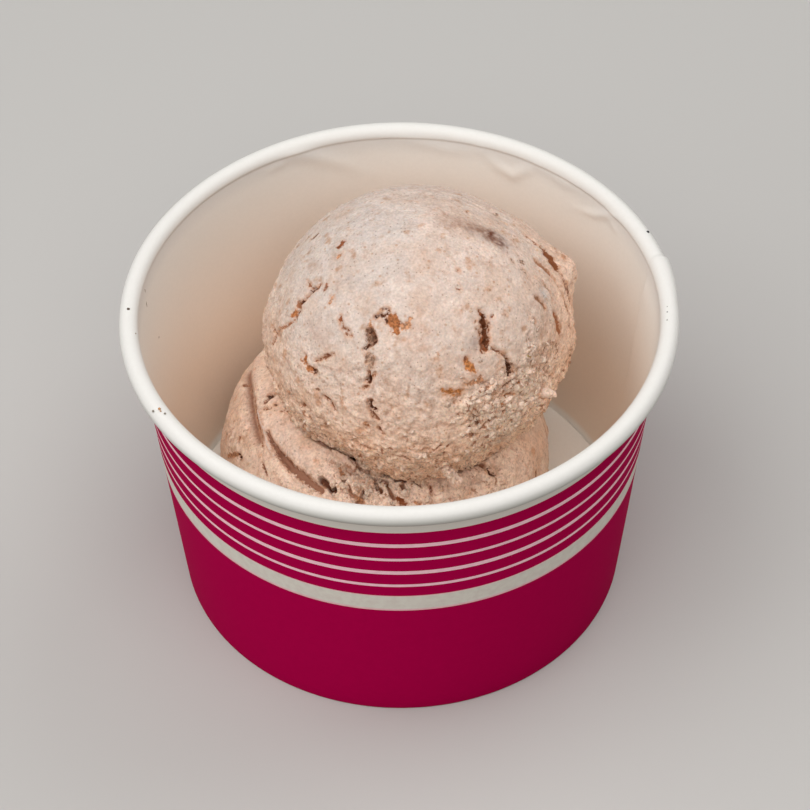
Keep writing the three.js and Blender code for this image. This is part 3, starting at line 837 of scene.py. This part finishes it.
def wall_shift(azimuth, radius, height, kind):
    """How far the board stands outward and upward of its plain round shape."""
    around = np.stack([azimuth * AROUND, height, np.zeros(len(height))], axis=-1)
    plan = np.stack([radius * np.cos(radians(azimuth)), radius * np.sin(radians(azimuth)), height], axis=-1)
    wave = noise(plan, 17, 201)
    outward = 0.06 * (noise(plan, 30, 202) - 1) * step_up(height, 5, 30)

    inside = kind == "inside"
    seam = layer_edge(INNER_SEAM + 0.2 - azimuth, 0.4, 4.2, 16.2)
    outward -= inside * LAYER * seam * step_up(58 - height, 0, 6)
    near_roll = step_up(60.4 - height, 0, 1.5) * (inside | (radius < RIM_RADIUS - RIM_WIDTH / 2))
    for width, push, *chain in CREASES:
        distance, share = along_chain(around, np.array([(a * AROUND, h, 0) for a, h in chain]))
        fade = np.sin(math.pi * np.clip(share, 0.08, 0.92))
        outward -= push * fade * bell(distance, width) * near_roll

    outer = (kind == "print") | (kind == "blank")
    outward += outer * LAYER * layer_edge(azimuth - OUTER_SEAM, 0.3, 1, 22) * step_up(height, 0, 2)
    roll = (kind == "roll") | (kind == "under roll")
    angle = np.arctan2(height - RIM_TOP + RIM_HEIGHT / 2, radius - RIM_RADIUS + RIM_WIDTH / 2)
    turn = np.degrees(angle)
    lap = layer_edge(RIM_SEAM - azimuth, 0.4, 1, 14)
    swell = roll * (0.45 * lap - 0.1 * (1 + wave)) * step_up(turn, -120, -60)
    outward += swell * np.maximum(np.cos(angle), 0)
    upward = roll * (0.2 * lap - 0.1 * (1 + wave) - 0.05) * np.clip(np.sin(angle), 0, 1)
    droop = RIM_DROOP * bell(np.minimum(azimuth, 360 - azimuth), DROOP_REACH)
    upward -= roll * droop * step_up(turn, -130, -80)
    return outward, upward


def cup_wall(printed, board, blank):
    names, radii, heights = zip(*wall_profile())
    kinds = np.repeat(names, [len(section) for section in radii])
    radii, heights = np.concatenate(radii), np.concatenate(heights)
    azimuths = uneven_azimuths(*DENSE_WALL, 0.34, 1.2)
    rows = np.append(np.arange(len(radii)), 0)
    points, faces, kept = turned_mesh(radii[rows], heights[rows], azimuths)
    row = rows[kept // len(azimuths)]
    azimuth = azimuth_of(points) % 360
    outward, upward = wall_shift(azimuth, radii[row], heights[row], kinds[row])
    heights = points[:, 2] + upward
    points = toward(azimuth, 0) * (radii[row] + outward)[:, None]
    points[:, 2] = heights
    slots = {"print": 0, "foot": 0, "blank": 2, "under roll": 2}
    slots = np.repeat([slots.get(kind, 1) for kind in kinds], len(azimuths) - 1)
    materials = [printed, board, blank]
    make_piece("paper_wall", points, faces, materials, "cup_wall", face_materials=slots)


def cup_floor(board):
    bend = FLOOR_ROUNDING
    edge = wall_radius(FLOOR_TOP, SKIRT_INSET)
    underside = FLOOR_TOP - PAPER
    hollow = underside - bend / 2
    corner = ellipse(edge - bend, FLOOR_TOP - bend, bend, bend, 0, 90, 7)
    disc = np.linspace(edge - bend, 0, 24)[1:]
    skirt_bottom = PAPER + GLUE_GAP
    skirt = wall_radius(skirt_bottom, SKIRT_INSET)
    radii = np.concatenate([
        [0, 12, 24, 34, edge - PAPER - bend / 2, wall_radius(hollow, SKIRT_INSET) - PAPER],
        [skirt - PAPER, skirt], corner[0], disc,
    ])
    heights = np.concatenate([
        [underside] * 5, [hollow, skirt_bottom, skirt_bottom], corner[1], np.full(len(disc), FLOOR_TOP),
    ])
    points, faces, _ = turned_mesh(radii, heights, np.linspace(0, 360, 241))
    sag = 0.12 * (noise(points, 22, 211) - 1) * step_up(edge - 2 - level(points), 0, 12)
    points[:, 2] += sag * (points[:, 2] > FLOOR_TOP - PAPER - 0.01)
    make_piece("paper_floor", points, faces, [board], "cup_floor")


# -------------------- crumbs and specks

# On the rolled rim: azimuth, angle round the roll, size and colour.
RIM_SPECKS = [
    (-89.9, 95, 0.24, (0.11, 0.075, 0.055)),
    (-83, 141, 0.18, (0.28, 0.17, 0.1)),
    (-59.3, 87, 0.27, (0.62, 0.33, 0.16)),
    (-58.6, 84, 0.16, (0.62, 0.36, 0.2)),
    (-59.8, 48, 0.19, (0.3, 0.27, 0.22)),
    (-57.5, 96, 0.18, (0.3, 0.27, 0.22)),
    (88.7, 112, 0.11, (0.50, 0.49, 0.47)),
    (87.1, 113, 0.14, (0.46, 0.45, 0.44)),
    (84.7, 113, 0.14, (0.50, 0.49, 0.47)),
    (112, 66, 0.24, (0.035, 0.035, 0.04)),
]
# Faint stains on the inner wall: azimuth, height, width, length up the wall and colour.
WALL_STAINS = [
    (-99.8, 56.8, 0.12, 0.8, (0.42, 0.33, 0.24)),
    (-98.9, 54.2, 0.15, 1.0, (0.42, 0.33, 0.24)),
    (101.2, 47.0, 0.14, 0.6, (0.45, 0.33, 0.22)),
    (-102.1, 44.2, 0.3, 0.3, (0.5, 0.42, 0.35)),
]

# Where loose crumbs are thickest: the middle and reach of a patch on the ball and two on the base.
TORN_CRUMBS = ((42, 10), (20, 15))
FRONT_CRUMBS = ((5, 28), (32, 4))
RUBBLE_CRUMBS = ((-6, 30.5), (14, 1.5))
# A rod of gelato that sticks out to the right: where it starts, its steps along +X and half size.
NUB_ROOT = (57.5, -1.2)
NUB_STEPS = [(0.1, 0.9), (0.8, 0.88), (1.4, 0.8), (1.95, 0.7)]
# A drip in front, from the skirt down to the lower scoop: its steps are to the right and upward.
DRIP_ROOT = (9.8, -15.8)
DRIP_STEPS = [(0, 0, 0.75), (0.45, -0.9, 0.85), (0.95, -1.8, 0.95), (1.45, -2.7, 1.0), (1.95, -3.5, 0.95)]
# Larger crumbs on the ball: azimuth, elevation, half sizes (along, across, outward) and lean.
BALL_CRUMBS = [
    (28.2, 21.2, (0.8, 0.5, 0.45), 30),
    (30.1, 23.9, (0.5, 0.4, 0.4), 60),
    (25.1, 22, (0.5, 0.45, 0.35), 0),
    (22.6, 17.9, (0.55, 0.4, 0.35), -20),
    (25.8, 14.3, (0.7, 0.5, 0.45), 0),
    (30.6, 14.7, (0.7, 0.45, 0.4), 15),
    (35.9, 12.3, (0.9, 0.4, 0.4), 5),
    (42.6, 5.7, (0.7, 0.5, 0.4), 40),
    (48.8, 4.2, (0.6, 0.4, 0.4), -30),
    (48.4, 18.1, (0.5, 0.4, 0.4), 0),
    (18, 7, (0.5, 0.4, 0.35), 10),
    (55, 3, (0.8, 0.4, 0.4), 25),
]


def lump_shapes(places, turns, sizes, seed, uneven=0.28):
    """One irregular lump at each place, turned by its three axes and scaled along them."""
    shape, faces = ball_grid(6, (0, 0, 0))
    points, all_faces = [], []
    for i, (place, turn, size) in enumerate(zip(places, turns, sizes)):
        dents = 1 + uneven * waves(shape + 7 * i, seed, (1, 0.8), (0.4, 0.4))
        points.append(place + (shape * dents[:, None] * size) @ turn)
        all_faces.append(np.array(faces) + i * len(shape))
    return np.concatenate(points), np.concatenate(all_faces).tolist(), len(shape)


def crumbs(name, material, node, scoop, centre, weights, count, sizes, seed, placed=()):
    """Crumbs fused to a scoop, at random points of its surface that the weights favour.

    The sizes are the smallest and the largest. The placed ones are a place, three axes and three
    half sizes.
    """
    surface = 1000 * read_points(scoop.data.vertices, "co", 3)
    tint = read_points(scoop.data.attributes["tint"].data, "color", 4)[:, :3]
    draw = np.random.default_rng(seed)
    chosen = draw.choice(len(surface), count, replace=False, p=weights / weights.sum())
    outward = surface[chosen] - centre
    outward /= length(outward)[:, None]
    turns = list(np.linalg.qr(draw.normal(size=(count, 3, 3)))[0])
    size = sizes[0] + (sizes[1] - sizes[0]) * draw.random(count) ** 2
    halves = list(size[:, None] * (0.5 + 1.1 * draw.random((count, 3))))
    places = list(surface[chosen] - outward * size[:, None] * 0.1)
    colours = list(blend(tint[chosen], FLAKE, np.full(count, 0.4)) * (0.7 + 0.22 * draw.random((count, 1))))
    for place, turn, half in placed:
        places.append(place)
        turns.append(turn)
        halves.append(half)
        colours.append(PALE_CRUMB)
    points, faces, each = lump_shapes(places, turns, halves, seed, 0.5)
    plain = np.zeros((len(points), 4))
    tints = np.repeat(colours, each, axis=0)
    gelato_piece(name, points, faces, material, node, tints, np.full(len(points), 0.4), plain, plain)


def placed_crumbs(surface, directions):
    """The rod, the drip and the other crumbs with places of their own on the ball."""
    placed = []
    for azimuth, elevation, half, lean in BALL_CRUMBS:
        outward = toward(azimuth, elevation)
        spot = surface[np.argmax(directions @ outward)]
        side = np.cross((0, 0, 1.0), outward)
        side /= np.linalg.norm(side)
        along = math.cos(math.radians(lean)) * side + math.sin(math.radians(lean)) * np.cross(outward, side)
        axes = np.stack([along, np.cross(outward, along), outward])
        placed.append((spot + outward * 0.35 * half[2], axes, half))
    root = surface[np.argmax(directions @ toward(*NUB_ROOT))]
    for step, half in NUB_STEPS:
        placed.append((root + (step, 0, 0), np.eye(3), (1.15 * half, half, half)))
    root = surface[np.argmax(directions @ toward(*DRIP_ROOT))]
    for right, up, half in DRIP_STEPS:
        placed.append((root + (right, 0, up), np.eye(3), (half, half, half)))
    return placed


def add_crumbs(gelato, ball, base):
    surface = 1000 * read_points(ball.data.vertices, "co", 3)
    directions = surface - BALL_CENTRE
    directions /= length(directions)[:, None]
    azimuth, elevation = azimuth_of(directions), elevation_of(directions)
    torn = patch(azimuth, elevation, *TORN_CRUMBS)
    skirt = bell(elevation + 10, 12) * step_up(80 - np.abs(azimuth), 0, 30)
    weights = torn + 0.5 * skirt
    placed = placed_crumbs(surface, directions)
    crumbs("ball_crumbs", gelato, "gelato_ball", ball, BALL_CENTRE, weights, 380, (0.14, 0.5), 241, placed)
    above = surface[:, 2] - dome_height(level(surface - BASE_CENTRE))
    edge = bell(above - 0.5, 0.6) * step_up(100 - np.abs(azimuth), 0, 20)
    crumbs("skirt_crumbs", gelato, "gelato_ball", ball, BALL_CENTRE, edge, 170, (0.25, 0.8), 242)
    local = 1000 * read_points(base.data.vertices, "co", 3) - BASE_CENTRE
    azimuth, height = azimuth_of(local), local[:, 2]
    front = patch(azimuth, height, *FRONT_CRUMBS) * (level(local) > 21)
    rubble = patch(azimuth, height, *RUBBLE_CRUMBS) * (level(local) > 20)
    middle = BASE_CENTRE + (0, 0, 12)
    crumbs("base_crumbs", gelato, "gelato_base", base, middle, 0.3 * front + rubble, 170, (0.15, 0.6), 243)


def specks(material):
    places, turns, sizes, tints = [], [], [], []
    up = np.array([0, 0, 1.0])
    for azimuth, angle, size, colour in RIM_SPECKS:
        around, normal = toward(azimuth, 0), toward(azimuth, angle)
        middle = around * (RIM_RADIUS - RIM_WIDTH / 2) + up * (RIM_TOP - RIM_HEIGHT / 2)
        places.append(middle + normal * (RIM_WIDTH / 2 - 0.1))
        side = np.cross(around, up)
        turns.append(np.stack([side, np.cross(normal, side), normal]))
        sizes.append((size, size, 0.6 * size))
        tints.append(colour)
    for azimuth, height, width, tall, colour in WALL_STAINS:
        around = toward(azimuth, 0)
        places.append(around * wall_radius(height, PAPER) + up * height)
        turns.append(np.stack([np.cross(around, up), up, around]))
        sizes.append((width, tall, 0.05))
        tints.append(colour)
    points, faces, each = lump_shapes(places, turns, sizes, 231)
    tints = {"tint": np.repeat(tints, each, axis=0)}
    make_piece("rim_specks", points, faces, [material], "cup_wall", tints)


# -------------------- materials

# Shares of the tint, on small patches.
FROST = (1.09, 1.11, 1.12)
BLUSH = (0.91, 0.85, 0.81)
SMUDGE = (0.80, 0.63, 0.51)
DOT = (0.36, 0.25, 0.18)
STAIN = (0.560, 0.290, 0.170)   # round a crack or an inclusion
# The board's colour from a height, in mm, upward, with painted light in it: lighter up to the floor's top,
# which little light reaches; warm beside the gelato, for the warm light that it throws back; and darker at
# the top of the wall and on the roll, where the lamps fall strongest.
BOARD_COLOURS = [
    (0, (0.95, 0.91, 0.85)),
    (6.4, (0.95, 0.91, 0.85)),
    (7.6, (0.90, 0.765, 0.64)),
    (26, (0.90, 0.77, 0.645)),
    (55, (0.88, 0.85, 0.795)),
    (58.5, (0.775, 0.76, 0.73)),
]
# The same for the blank strip of the wall and the underside of the roll, which shade each other.
SHADED_COLOURS = [
    (0, (0.67, 0.625, 0.565)),
    (56.4, (0.67, 0.625, 0.565)),
    (56.9, (0.34, 0.32, 0.28)),
    (57.3, (0.38, 0.365, 0.33)),
    (57.6, (0.43, 0.42, 0.385)),
    (57.95, (0.52, 0.51, 0.475)),
    (58.3, (0.61, 0.60, 0.565)),
    (58.6, (0.66, 0.65, 0.615)),
    (59.2, (0.775, 0.76, 0.73)),
]
FIBRE = (0.60, 0.55, 0.48)
MAGENTA = (0.400, 0.0003, 0.058)
DEEP_MAGENTA = (0.250, 0.0, 0.040)
SPECK_DARK = (0.05, 0.03, 0.02)
# The thick stripe is unprinted board, painted darker than the board inside the cup: painted shade of the
# upright wall.
STRIPE = (0.69, 0.655, 0.585)
LINE = (0.93, 0.59, 0.66)
EDGE_PINK = (0.80, 0.50, 0.52)  # hair-thin, where the ink ends
THICK_STRIPE = (30.02, 34.24)   # heights
LINE_HEIGHTS = (37.2, 40.83, 44.52, 48.44)
LINE_WIDTH = 0.86
EDGE_WIDTH = 0.3


def opaque(colour):
    return (*colour, 1.0)


class Shading:
    """A material with a Principled shader, and short ways to add the nodes that colour it."""

    def __init__(self, name, **sockets):
        self.material = bpy.data.materials.new(name)
        self.material.use_nodes = True
        self.tree = self.material.node_tree
        self.shader = self.tree.nodes["Principled BSDF"]
        for key, value in sockets.items():
            self.shader.inputs[key.replace("_", " ")].default_value = value

    def add(self, kind, inputs=(), **settings):
        """Inputs map a socket's name or number to a value or to another node's output."""
        made = self.tree.nodes.new("ShaderNode" + kind)
        for key, value in settings.items():
            setattr(made, key, value)
        for key, value in dict(inputs).items():
            if isinstance(value, bpy.types.NodeSocket):
                self.tree.links.new(value, made.inputs[key])
            else:
                made.inputs[key].default_value = value
        return made

    def place(self):
        return self.add("TexCoord").outputs["Object"]

    def layer(self, name):
        return self.add("Attribute", attribute_name=name).outputs

    def link(self, output, socket):
        self.tree.links.new(output, self.shader.inputs[socket])

    def noise(self, size, detail=2.0):
        """Noise from 0 to 1 with lumps about `size` mm across."""
        inputs = {"Vector": self.place(), "Scale": 1000 / size, "Detail": detail}
        return self.add("TexNoise", inputs).outputs["Fac"]

    def ranged(self, value, low, high, to_low=0.0, to_high=1.0):
        inputs = {"Value": value, "From Min": low, "From Max": high, "To Min": to_low, "To Max": to_high}
        return self.add("MapRange", inputs, interpolation_type="SMOOTHSTEP").outputs["Result"]

    def mixed(self, factor, first, second, blend_type="MIX"):
        inputs = {0: factor, 6: first, 7: second}
        return self.add("Mix", inputs, data_type="RGBA", blend_type=blend_type).outputs[2]

    def combined(self, operation, first, second):
        return self.add("Math", {0: first, 1: second}, operation=operation).outputs[0]

    def times(self, first, second):
        return self.combined("MULTIPLY", first, second)

    def bump(self, height, strength, depth):
        """Bump of up to `depth` mm."""
        inputs = {"Height": height, "Strength": strength, "Distance": depth / 1000}
        self.link(self.add("Bump", inputs).outputs["Normal"], "Normal")

    def spots(self, size, reach, share):
        """1 on small round spots, about one for each `size` mm, of which only a share is kept."""
        voronoi = self.add("TexVoronoi", {"Vector": self.place(), "Scale": 1000 / size})
        number = self.add("SeparateColor", {"Color": voronoi.outputs["Color"]}).outputs[0]
        near = self.ranged(voronoi.outputs["Distance"], reach, 0.5 * reach)
        return self.times(near, self.ranged(number, 1 - share, 1 - share + 0.05))

    def layer_mask(self, layer, ragged, low, high):
        """1 inside the edge of a layer's marks, where the edge is moved in and out by noise."""
        return self.ranged(self.combined("ADD", layer["Alpha"], ragged), low, high)

    def height_ramp(self, colours, interpolation):
        """Colour by height: each colour with the height in mm that it starts or is reached at."""
        height = self.add("SeparateXYZ", {"Vector": self.place()}).outputs["Z"]
        made = self.add("ValToRGB", {"Fac": self.times(height, 1000 / RIM_TOP)})
        made.color_ramp.interpolation = interpolation
        stops = made.color_ramp.elements
        stops.remove(stops[1])
        for i, (start, colour) in enumerate(colours):
            stop = stops[0] if i == 0 else stops.new(start / RIM_TOP)
            stop.position = start / RIM_TOP
            stop.color = opaque(colour)
        return made.outputs["Color"]


def gelato_material():
    m = Shading("gelato", Roughness=0.62, Specular_IOR_Level=0.13, Subsurface_Weight=0.14,
                Subsurface_Scale=0.0008)
    m.shader.inputs["Subsurface Radius"].default_value = (1.0, 0.45, 0.25)
    tint, bits, cuts = m.layer("tint"), m.layer("bits"), m.layer("cuts")
    rough = tint["Alpha"]

    grain = m.noise(0.42, 3)
    patches = [
        (m.ranged(m.noise(1.9, 5), 0.46, 0.66, 0, 0.8), FROST),
        (m.ranged(m.noise(1.25, 5), 0.5, 0.68, 0, 0.9), BLUSH),
        (m.ranged(m.noise(2.7, 6), 0.58, 0.72, 0, 0.9), SMUDGE),
        (m.times(m.spots(1.35, 0.26, 0.35), 0.7), SMUDGE),
        (m.times(m.spots(0.9, 0.26, 0.25), 0.8), FROST),
        (m.times(m.spots(0.62, 0.3, 0.25), 0.5), DOT),
    ]
    colour = tint["Color"]
    for share, gain in patches:
        colour = m.mixed(share, colour, opaque(gain), "MULTIPLY")
    grained = m.ranged(grain, 0.3, 0.7, 0.72, 1.14)
    colour = m.mixed(m.ranged(rough, 0, 1, 0.45, 1), colour, grained, "MULTIPLY")
    # Small pores painted dark where the gelato is rough: painted shade.
    pores = m.ranged(m.noise(0.95, 5), 0.44, 0.32, 0, 0.9)
    colour = m.mixed(m.times(pores, m.ranged(rough, 0.1, 0.75)), colour, opaque(CREVICE_SHADE))

    uneven = m.ranged(m.noise(0.9, 4), 0.35, 0.65, 0.1, 1)
    for marks, strength in ((bits, 0.45), (cuts, 0.75)):
        near = m.ranged(marks["Alpha"], 0.32, 0.5, 0, strength)
        colour = m.mixed(m.times(near, uneven), colour, opaque(STAIN))
    ragged = m.ranged(m.noise(0.75, 5), 0.2, 0.8, -0.13, 0.13)
    speckled = m.mixed(1.0, bits["Color"], m.ranged(grain, 0.3, 0.7, 0.5, 1.25), "MULTIPLY")
    colour = m.mixed(m.layer_mask(bits, ragged, 0.45, 0.57), colour, speckled)
    jagged = m.ranged(m.noise(0.5, 3), 0.2, 0.8, -0.065, 0.065)
    m.link(m.mixed(m.layer_mask(cuts, jagged, 0.475, 0.53), colour, cuts["Color"]), "Base Color")
    m.link(m.ranged(m.noise(1.3), 0.35, 0.7, 0.5, 0.72), "Roughness")
    m.bump(m.noise(0.85, 5), m.ranged(rough, 0, 1, 0.4, 1), 0.5)
    return m.material


def board_material(name, colours):
    m = Shading(name, Roughness=0.5, Specular_IOR_Level=0.3)
    fibre = m.ranged(m.noise(0.6, 3), 0.35, 0.65, 0, 0.05)
    m.link(m.mixed(fibre, m.height_ramp(colours, "LINEAR"), opaque(FIBRE)), "Base Color")
    m.bump(m.noise(0.9, 4), 0.18, 0.05)
    return m.material


def printed_material():
    """Magenta with one thick stripe and four thin lines, by height up the wall."""
    m = Shading("printed_board", Roughness=0.6, Specular_IOR_Level=0.05, IOR=1.12)
    low, high = THICK_STRIPE
    bands = [(0, MAGENTA), (low, EDGE_PINK), (low + EDGE_WIDTH, STRIPE)]
    bands += [(high - EDGE_WIDTH, EDGE_PINK), (high, MAGENTA)]
    for middle in LINE_HEIGHTS:
        bands += [(middle - LINE_WIDTH / 2, LINE), (middle + LINE_WIDTH / 2, MAGENTA)]
    bands.append((BLANK_FROM - EDGE_WIDTH, EDGE_PINK))
    cloud = m.ranged(m.noise(1.2, 4), 0.3, 0.7, 0, 0.1)
    m.link(m.mixed(cloud, m.height_ramp(bands, "CONSTANT"), opaque(DEEP_MAGENTA)), "Base Color")
    m.bump(m.noise(0.9, 4), 0.2, 0.05)
    return m.material


def speck_material():
    m = Shading("speck", Roughness=0.7, Specular_IOR_Level=0.2)
    dark = m.ranged(m.noise(0.2, 2), 0.3, 0.7, 0, 0.5)
    m.link(m.mixed(dark, m.layer("tint")["Color"], opaque(SPECK_DARK)), "Base Color")
    return m.material


# -------------------- stage, light and camera

STAGE = (0.5, 0.49, 0.475)
STAGE_SIDE = 6.0                # metres
DOME = 0.21                     # brightness of the even light from all round
DOME_COLOUR = (1.0, 0.99, 0.98)
LAMP_DISTANCE = 1.2             # metres
LAMP_SIZE = 1.0
LAMP_COLOUR = (1.0, 0.99, 0.975)
# Soft lamps: name, azimuth, elevation and power in watts.
LAMPS = [
    ("left", -85, 58, 4.9),
    ("front_left", -48, 32, 2.8),
    ("front", 4, 58, 5.4),
    ("back_right", 125, 50, 4.0),
    ("top", 0, 85, 2.2),
]

IMAGE_SIDE = 810                # pixels
VIEW_TARGET = (0.81, 0.0, 35.73)
VIEW_ELEVATION = 46.34
VIEW_DISTANCE = 582.5
VIEW_ROLL = -0.712
FOCAL_PIXELS = 3310.6
SENSOR = 36.0


def add_stage():
    mesh = bpy.data.meshes.new("stage_floor")
    half = STAGE_SIDE / 2
    corners = [(-half, -half, 0), (half, -half, 0), (half, half, 0), (-half, half, 0)]
    mesh.from_pydata(corners, [], [(0, 1, 2, 3)])
    mesh.materials.append(Shading("stage_floor", Base_Color=opaque(STAGE), Roughness=0.85).material)
    stage = bpy.data.objects.new("stage_floor", mesh)
    bpy.context.scene.collection.objects.link(stage)


def looking(position, back, roll=0.0):
    """Matrix of a camera or lamp at a position, looking against the direction `back`."""
    right = np.cross((0, 0, 1), back)
    right /= np.linalg.norm(right)
    up = np.cross(back, right)
    matrix = np.eye(4)
    matrix[:3, 0] = math.cos(roll) * right + math.sin(roll) * up
    matrix[:3, 1] = math.cos(roll) * up - math.sin(roll) * right
    matrix[:3, 2] = back
    matrix[:3, 3] = position
    return Matrix(matrix.tolist())


def add_light():
    scene = bpy.context.scene
    world = bpy.data.worlds.new("studio")
    world.use_nodes = True
    background = world.node_tree.nodes["Background"]
    background.inputs["Color"].default_value = opaque(DOME_COLOUR)
    background.inputs["Strength"].default_value = DOME
    scene.world = world
    for name, azimuth, elevation, power in LAMPS:
        lamp = bpy.data.lights.new(name, "AREA")
        lamp.shape = "DISK"
        lamp.size = LAMP_SIZE
        lamp.energy = power
        lamp.color = LAMP_COLOUR
        light = bpy.data.objects.new(name, lamp)
        back = toward(azimuth, elevation)
        light.matrix_world = looking(back * LAMP_DISTANCE, back)
        scene.collection.objects.link(light)
    scene.view_settings.view_transform = "Standard"


def add_camera():
    data = bpy.data.cameras.new("camera")
    data.sensor_width = SENSOR
    data.lens = FOCAL_PIXELS / IMAGE_SIDE * SENSOR
    data.clip_start = 0.05
    camera = bpy.data.objects.new("camera", data)
    back = toward(0, VIEW_ELEVATION)
    position = (np.array(VIEW_TARGET) + back * VIEW_DISTANCE) / 1000
    camera.matrix_world = looking(position, back, math.radians(VIEW_ROLL))
    bpy.context.scene.collection.objects.link(camera)
    bpy.context.scene.camera = camera


# -------------------- the scene


def build():
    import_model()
    add_camera()
    add_stage()
    add_light()
    gelato = gelato_material()
    board = board_material("coated_board", BOARD_COLOURS)
    blank = board_material("shaded_board", SHADED_COLOURS)
    cup_wall(printed_material(), board, blank)
    cup_floor(board)
    ball = upper_scoop(gelato)
    base = lower_scoop(gelato)
    add_crumbs(gelato, ball, base)
    specks(speck_material())


build()
